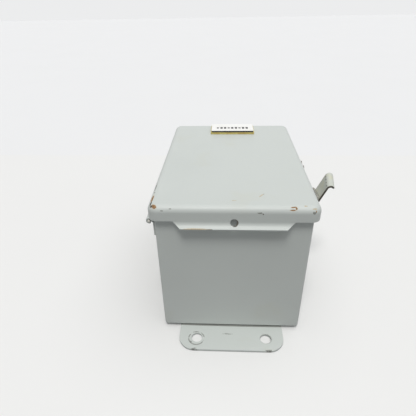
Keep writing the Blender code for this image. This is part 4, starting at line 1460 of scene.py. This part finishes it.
@dataclass
class Latch:
    """The swing latch: a curled lever with its catch, on a pin between the bracket's ears."""

    lean: float = 24.5
    width: float = 16.0 * MM
    sheet: float = 1.5 * MM
    eye: float = 2.35 * MM
    offset: float = 4.55 * MM
    straight: float = 42.9 * MM
    curl: float = 2.7 * MM
    curl_turn: float = 142.0
    tail: float = 1.2 * MM
    slant: float = 0.30
    slant_from: float = 12.0 * MM
    slant_over: float = 28.0 * MM
    corner: float = 4.0 * MM
    catch_sheet: float = 1.2 * MM
    catch_top: float = 31.4 * MM
    catch_foot: float = 13.0 * MM
    catch_width: float = 14.0 * MM
    rivets_aside: float = 4.0 * MM
    base: float = 1.3 * MM
    base_corner: float = 3.0 * MM
    ear: float = 1.5 * MM
    ear_height: float = 5.5 * MM
    ear_corner: float = 3.6 * MM
    pin_bore: float = 1.6 * MM
    pin_radius: float = 1.5 * MM
    pin_head: float = 2.5 * MM

    def build(self) -> None:
        """Build the lever, the catch and the bracket with its pin."""
        pivot = joint_place("latch_swing")
        place = Matrix.Translation(pivot) @ Matrix.Rotation(math.radians(self.lean), 4, "Y")
        self.lever(place)
        self.catch(place)
        self.bracket(pivot)
        self.pin(pivot)

    def rivet_places(self, out: float) -> list[Point3]:
        """Return the catch's two rivet places on the upright lever, this far out from the pin."""
        height = (self.catch_foot + self.catch_top - self.catch_sheet) / 2
        return [(out, side * self.rivets_aside, height) for side in SIDES]

    def lever(self, place: Matrix) -> None:
        """Build the lever: a strap with a rolled eye, an offset and a slanting, curled finger grip.

        Args:
            place: Takes the upright lever to where it leans.
        """
        path = arc((0, 0), self.eye, -280, 0, 26)
        neck = [(self.eye + 0.1 * MM, 1.6 * MM), (self.offset - 0.15 * MM, 6.0 * MM)]
        path += bent([path[-1], *neck, (self.offset, 9.0 * MM)], 2.0 * MM, 4)[1:]
        path += [(self.offset, self.straight * share) for share in (0.45, 0.7)]
        centre = (self.offset + self.curl, self.straight)
        path += arc(centre, self.curl, 180, 180 - self.curl_turn, 26)
        heading = math.radians(90 - self.curl_turn)
        x, z = path[-1]
        for i in range(1, 9):
            reach = self.tail * i / 8
            path.append((x + reach * math.cos(heading), z + reach * math.sin(heading)))

        def width(left: float) -> float:
            """Return the strap's width this far from its rounded free end."""
            inside = max(0.0, self.corner - left - 0.35 * MM)
            return self.width - 2 * self.corner + 2 * math.sqrt(self.corner**2 - inside**2)

        work = Workpiece().strip(path, width).sheet(self.sheet, 0.0)
        work.drilled(RIVET_HOLE, self.rivet_places(self.offset), reach=6 * MM)
        for vert in work.bm.verts:
            share = min(1.0, max(0.0, (vert.co.z - self.slant_from) / self.slant_over))
            vert.co.z += self.slant * vert.co.y * share**2
        work.soften(0.3 * MM).moved(place)
        work.finished("curled_lever", "latch", LATCH_PAINT, ["latch_lever"])

    def catch(self, place: Matrix) -> None:
        """Build the catch, an angle riveted to the lever's inner face, and its rivets.

        Args:
            place: Takes the upright lever to where it leans.
        """
        back = self.offset - self.sheet / 2 - 0.2 * MM - self.catch_sheet / 2
        shelf = self.catch_top - self.catch_sheet / 2
        corners = [(back, self.catch_foot), (back, shelf), (0.3 * MM, shelf)]
        work = Workpiece().strip(bent(corners, 1.2 * MM), self.catch_width)
        work.sheet(self.catch_sheet, 0.0).drilled(RIVET_HOLE, self.rivet_places(back), reach=6 * MM)
        work.soften(0.2 * MM).moved(place)
        work.finished("riveted_catch", "latch", DULL_ZINC, ["latch_catch"])
        turn = Matrix.Rotation(math.radians(self.lean + 90), 4, "Y")
        for i in (1, 2):
            Hardware().rivet(f"catch_rivet_{i}", "latch", turn)

    def bracket(self, pivot: Vector) -> None:
        """Build the base plate with its two ears.

        Args:
            pivot: Where the lever turns.
        """
        low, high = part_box("latch_bracket")
        work = Workpiece().block(low, (low.x + self.base, high.y, high.z))
        work.round_edges(self.base_corner, 8, runs_along(0, 0.5 * MM))
        along_pin = runs_along(1, 0.5 * MM)
        for near in (low.y, high.y - self.ear):
            tab = Workpiece().block(
                (low.x + 0.2 * MM, near, pivot.z - self.ear_height),
                (high.x, near + self.ear, pivot.z + self.ear_height),
            )
            tab.round_edges(
                self.ear_corner, 10, lambda e: along_pin(e) and e.verts[0].co.x > pivot.x
            )
            work.combined(tab, "UNION")
        work.drilled(self.pin_bore, [pivot], "Y", 28, 30 * MM)
        work.drilled(RIVET_HOLE, map(middle_of, BRACKET_RIVETS)).soften(0.2 * MM)
        work.finished("latch_base", "enclosure", TRIM_PAINT, ["latch_bracket"])

    def pin(self, pivot: Vector) -> None:
        """Build the headed pin through the ears.

        Args:
            pivot: Where the lever turns.
        """
        near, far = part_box("latch_pin")
        head, radius = self.pin_head, self.pin_radius
        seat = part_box("latch_bracket")[1].y + 0.2 * MM
        profile = [(0, far.y), (head * 0.6, far.y - 0.08 * MM), (head * 0.9, far.y - 0.4 * MM)]
        profile += [(head, seat), (radius, seat), (radius, -seat), (head * 0.85, -seat)]
        profile += [(head * 0.7, near.y + 0.1 * MM), (0, near.y)]
        if abs(far.y) < abs(near.y):
            profile = [(r, -z) for r, z in reversed(profile)]
        pin = Workpiece().turned(profile).moved(Matrix.Translation(pivot) @ axis_turn("Y"))
        pin.finished("latch_pin_headed", "enclosure", DULL_ZINC, ["latch_pin"])


@dataclass
class Wiring:
    """The sub-panel, the top-hat rail and the terminal strip on it."""

    rail_sheet: float = 1.0 * MM
    rail_brim: float = 5.0 * MM
    slot_length: float = 12.0 * MM
    slot_width: float = 5.2 * MM
    slot_pitch: float = 20.0 * MM
    stud_hole: float = 2.8 * MM
    screw_hole: float = 2.1 * MM
    entry_width: float = 3.9 * MM
    entry_tall: float = 5.0 * MM
    entry_height: float = 11.5 * MM
    screw_well: float = 2.15 * MM
    well_out: float = 10.3 * MM
    test_hole: float = 1.1 * MM
    test_out: float = 5.4 * MM
    shoulder: float = 5.0 * MM
    clamp_in: float = 7.4 * MM
    clamp_screw: float = 1.85 * MM
    clamp_screw_height: float = 1.6 * MM

    def build(self) -> None:
        """Build everything on the panel."""
        self.panel()
        self.rail()
        self.terminals()
        self.end_stops()

    def panel(self) -> None:
        """Build the panel with its stud, rail and earth holes."""
        low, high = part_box("sub_panel")
        work = Workpiece().block(low, high).round_edges(3 * MM, 6, UPRIGHT)
        studs = [middle_of(f"panel_stud_{i}") for i in (1, 2, 3, 4)]
        screws = [middle_of(screw) for screw in (*RAIL_SCREWS, "ground_screw")]
        for radius, places in ((self.stud_hole, studs), (self.screw_hole, screws)):
            work.drilled(radius, places, "Z", 32, 40 * MM)
        work.soften(0.2 * MM)
        work.finished("galvanised_panel", "enclosure", SPANGLE, ["sub_panel"])

    def rail(self) -> None:
        """Build the rail from one folded strip, slotted along its channel."""
        low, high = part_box("din_rail")
        middle, half = middle_of("din_rail"), self.rail_sheet / 2
        wide = (high.x - low.x) / 2
        foot = wide - self.rail_brim - half
        top, bottom = high.z - half, low.z + half
        corners = [(wide, top), (foot, top), (foot, bottom)]
        corners += [(-x, z) for x, z in reversed(corners)]
        work = Workpiece().strip(bent(corners, 1.1 * MM), high.y - low.y)
        work.sheet(self.rail_sheet, 0.0).moved(Matrix.Translation((middle.x, 0, 0)))
        size = Vector((self.slot_width / 2, self.slot_length / 2, 3 * MM))
        for i in (-1.5, -0.5, 0.5, 1.5):
            tool = Workpiece().block(-size, size).round_edges(self.slot_width / 2.02, 8, UPRIGHT)
            work.cut(tool.moved(Matrix.Translation((middle.x, i * self.slot_pitch, bottom))))
        work.drilled(self.screw_hole, map(middle_of, RAIL_SCREWS), "Z", 32, 20 * MM)
        work.soften(0.15 * MM)
        work.finished("slotted_rail", "enclosure", FINE_SPANGLE, ["din_rail"])

    def rail_outline(self, half: float, height: float) -> list[Point2]:
        """Outline of a block that clips over the rail's brims.

        Args:
            half: Half its width.
            height: How far it stands over the rail.

        Returns:
            The outline, as (across, up) from the rail's top.
        """
        rail_low, rail_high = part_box("din_rail")
        brim, gap, shoulder = (rail_high.x - rail_low.x) / 2, 0.2 * MM, self.shoulder
        under = -self.rail_sheet - gap
        right = [(brim + gap, gap), (brim + gap, under), (brim - 1.2 * MM, under)]
        right += [(brim - 0.4 * MM, -2.6 * MM), (brim + 2.6 * MM, -2.6 * MM), (half, 3.0 * MM)]
        right += [(half, height * 0.52), (half - shoulder, height * 0.62)]
        right += [(half - shoulder, height * 0.8), (half - 1.5 * shoulder, height)]
        return right + [(-x, z) for x, z in reversed(right)]

    def block(self, node: str) -> tuple[Workpiece, Vector, float]:
        """Start a moulded block from a packed one's outline.

        Args:
            node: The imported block.

        Returns:
            The block about its own middle, its middle on the rail's top, and its height.
        """
        low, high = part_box(node)
        rail_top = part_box("din_rail")[1].z
        height = high.z - rail_top
        work = Workpiece().outline(self.rail_outline((high.x - low.x) / 2, height), high.y - low.y)
        work.moved(Matrix.Rotation(math.pi / 2, 4, "X"))
        return work, Vector((*middle_of(node).xy, rail_top)), height

    def terminals(self) -> None:
        """Build the feed-through blocks and the earth block, with their clamps and markers."""
        blocks = {f"terminal_block_{i}": TERMINAL_GREY for i in range(1, 9)}
        blocks["earth_block"] = EARTH_GREEN
        screws, clamps = Workpiece(), Workpiece()
        clamp = Vector((MM, self.entry_width / 2 - 0.1 * MM, self.entry_tall / 2 - 0.1 * MM))
        for node, finish in blocks.items():
            work, at, height = self.block(node)
            edge = (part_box(node)[1].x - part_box(node)[0].x) / 2
            self.hollow(work, height, edge)
            work.moved(Matrix.Translation(at))
            work.finished(f"{node}_moulded", "enclosure", finish, [node])
            for side in SIDES:
                head = at + Vector((side * self.well_out, 0, height - 5.2 * MM))
                turn = Matrix.Rotation(math.radians(37 * (at.y / MM) + 50 * side), 4, "Z")
                screws.added(self.terminal_screw(), [Matrix.Translation(head) @ turn])
                inner = at + Vector((side * (edge - self.clamp_in), 0, self.entry_height))
                clamps.block_about(inner, clamp)
        screws.finished("terminal_screws", "enclosure", BRASS)
        clamps.finished("terminal_clamps", "enclosure", BRASS)
        self.markers(blocks)
        node = "terminal_end_plate"
        plate, at, _ = self.block(node)
        plate.soften(0.2 * MM, angle=30).moved(Matrix.Translation(at))
        plate.finished("closing_plate", "enclosure", END_BLACK, [node])

    def hollow(self, work: Workpiece, height: float, edge: float) -> None:
        """Cut a block's screw wells, wire entries, test holes and marker groove, and soften it.

        Args:
            work: The block, its middle on the rail's top at the origin.
            height: Its height.
            edge: Half its width.
        """
        mouth = Vector((6 * MM, self.entry_width / 2, self.entry_tall / 2))
        for side in SIDES:
            well = (side * self.well_out, 0, height - 4 * MM)
            work.drilled(self.screw_well, [well], "Z", 24, 12 * MM)
            entry = Vector((side * edge, 0, self.entry_height))
            work.cut(Workpiece().block_about(entry, mouth))
            work.drilled(self.test_hole, [(side * self.test_out, 0, height)], "Z", 16, 5 * MM)
        groove, top = Vector((2.6 * MM, 4 * MM, 1.3 * MM)), Vector((0, 0, height))
        work.cut(Workpiece().block_about(top, groove)).soften(0.22 * MM, angle=30)

    def terminal_screw(self) -> Workpiece:
        """Return one small slotted clamp screw, its head's top at height 0."""
        radius, foot = self.clamp_screw, -self.clamp_screw_height
        profile = [(0, 0), (radius * 0.8, 0), (radius, -0.25 * MM), (radius, foot), (0, foot)]
        work = Workpiece().turned(profile, 20)
        size = Vector((radius * 1.2, 0.3 * MM, 0.6 * MM))
        return work.cut(Workpiece().block(-size, size))

    def markers(self, nodes: Iterable[str]) -> None:
        """Build the blank marker tags that snap into the blocks' grooves.

        Args:
            nodes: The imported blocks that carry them.
        """
        tags = Workpiece()
        for node in nodes:
            low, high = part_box(node)
            middle = Vector((*middle_of(node).xy, high.z - 0.3 * MM))
            size = Vector((2.45 * MM, (high.y - low.y) / 2 - 0.15 * MM, 0.9 * MM))
            tags.added(Workpiece().block_about(middle, size).round_edges(0.25 * MM, 2))
        tags.finished("marker_tags", "enclosure", MARKER_WHITE)

    def end_stops(self) -> None:
        """Build the two end stops with their clamp screws."""
        screws = Workpiece()
        groove, aside = Vector((1.6 * MM, 12 * MM, 0.8 * MM)), Vector((7.2 * MM, 0, 0))
        for node in ("end_stop_1", "end_stop_2"):
            top = Vector((*middle_of(node).xy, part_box(node)[1].z))
            work = merged_copy(node).drilled(self.screw_hole, [top], "Z", 28, 7 * MM)
            for at in (top - aside, top + aside):
                work.cut(Workpiece().block_about(at, groove))
            work.soften(0.3 * MM, angle=30)
            work.finished(f"{node}_moulded", "enclosure", END_BLACK, [node])
            sunk = Matrix.Translation((top.x, top.y, top.z - 1.6 * MM))
            screws.added(self.terminal_screw(), [sunk])
        screws.finished("end_stop_screws", "enclosure", ZINC)


def merged_copy(node: str) -> Workpiece:
    """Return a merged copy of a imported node's mesh, with its flat faces made whole."""
    work = Workpiece()
    work.bm.from_mesh(frame["nodes"][node].data)
    bmesh.ops.remove_doubles(work.bm, verts=work.bm.verts, dist=0.005 * MM)
    bmesh.ops.dissolve_limit(
        work.bm, angle_limit=math.radians(1), verts=work.bm.verts[:], edges=work.bm.edges[:]
    )
    return work


# ------------------------------------------------------------------------ studio


@dataclass
class Studio:
    """The pale floor, the soft lights and the camera."""

    camera_place: Point3 = (-0.019275, -0.26438, 0.22126)
    pitch: float = 31.11
    yaw: float = -3.16
    roll: float = -1.16
    lens: float = 30.80
    sensor: float = 36.0
    table_edge: float = 266.0 * MM
    floor_tone: Colour = (0.815, 0.815, 0.81)
    wall_tone: Colour = (0.81, 0.815, 0.825)
    dome: float = 0.28
    dome_tone: Colour = (0.97, 0.985, 1.0)
    backdrop_tone: Colour = (0.84, 0.845, 0.85)

    def build(self) -> None:
        """Build the whole studio."""
        self.camera()
        self.floor()
        self.lights()
        self.world()

    def camera(self) -> None:
        """Place the camera."""
        pitch, yaw, roll = (math.radians(a) for a in (self.pitch, self.yaw, self.roll))
        ahead = Vector(
            (math.sin(yaw) * math.cos(pitch), math.cos(yaw) * math.cos(pitch), -math.sin(pitch))
        )
        level = Vector((math.cos(yaw), -math.sin(yaw), 0))
        up = level.cross(ahead)
        right = math.cos(roll) * level + math.sin(roll) * up
        above = -math.sin(roll) * level + math.cos(roll) * up
        data = bpy.data.cameras.new("camera")
        data.lens, data.sensor_width = self.lens, self.sensor
        data.clip_start = 0.01
        camera = new_object("camera", data)
        turn = Matrix((right, above, -ahead)).transposed().to_4x4()
        camera.matrix_world = Matrix.Translation(self.camera_place) @ turn
        bpy.context.scene.camera = camera

    def floor(self) -> None:
        """Build the floor, a little cooler beyond the table's edge."""
        graph = Graph("pale_floor")
        _, y, _ = graph.axes()
        beyond = y.ease(self.table_edge - 4 * MM, self.table_edge)
        tone = graph.mix(beyond, self.floor_tone, self.wall_tone)
        cloud = graph.noise(6, 2.0).ease(0.3, 0.8) * 0.03
        tone = graph.mix(cloud, tone, (0.6, 0.6, 0.6))
        values = {"Base Color": tone, "Roughness": 0.75, "Specular IOR Level": 0.2}
        mesh = bpy.data.meshes.new("pale_floor")
        work = bmesh.new()
        bmesh.ops.create_grid(work, x_segments=4, y_segments=4, size=4.0)
        work.to_mesh(mesh)
        work.free()
        mesh.materials.append(graph.finish(values))
        floor = new_object("pale_floor", mesh)
        floor.location.z = -0.05 * MM
        floor.visible_diffuse = False

    def lights(self) -> None:
        """Hang the soft boxes."""
        # Name, height and bearing in degrees, strength, spread in degrees, and colour.
        boxes = (
            ("front_soft_box", 66.0, -5.0, 1.36, 18.0, (1.0, 0.985, 0.955)),
            ("overhead_soft_box", 81.0, 80.0, 1.27, 70.0, (0.99, 0.995, 1.0)),
        )
        for name, height, bearing, strength, spread, colour in boxes:
            data = bpy.data.lights.new(name, "SUN")
            data.energy, data.angle = strength, math.radians(spread)
            data.color = colour
            light = new_object(name, data)
            light.rotation_euler = (math.radians(90 - height), 0, math.radians(bearing))

    def world(self) -> None:
        """Surround the scene with a pale backdrop that gives only a dim soft light."""
        world = bpy.data.worlds.new("studio")
        world.use_nodes = True
        nodes, links = world.node_tree.nodes, world.node_tree.links
        dome = nodes["Background"]
        dome.inputs["Color"].default_value = (*self.dome_tone, 1.0)
        dome.inputs["Strength"].default_value = self.dome
        backdrop = nodes.new("ShaderNodeBackground")
        backdrop.inputs["Color"].default_value = (*self.backdrop_tone, 1.0)
        seen, mix = nodes.new("ShaderNodeLightPath"), nodes.new("ShaderNodeMixShader")
        links.new(seen.outputs["Is Diffuse Ray"], mix.inputs[0])
        links.new(backdrop.outputs[0], mix.inputs[1])
        links.new(dome.outputs[0], mix.inputs[2])
        links.new(mix.outputs[0], nodes["World Output"].inputs[0])
        bpy.context.scene.world = world
        bpy.context.scene.view_settings.view_transform = "Standard"


def main() -> None:
    """Build the studio and every sub-assembly, and report each piece."""
    logging.basicConfig(level=logging.INFO, format="%(name)s: %(message)s", stream=sys.stdout)
    for part in (Studio(), Enclosure(), Cover(), Hinge(), Latch(), Hardware(), Wiring()):
        part.build()
        LOG.info("%s built", type(part).__name__)


if __name__ == "__main__":
    main()
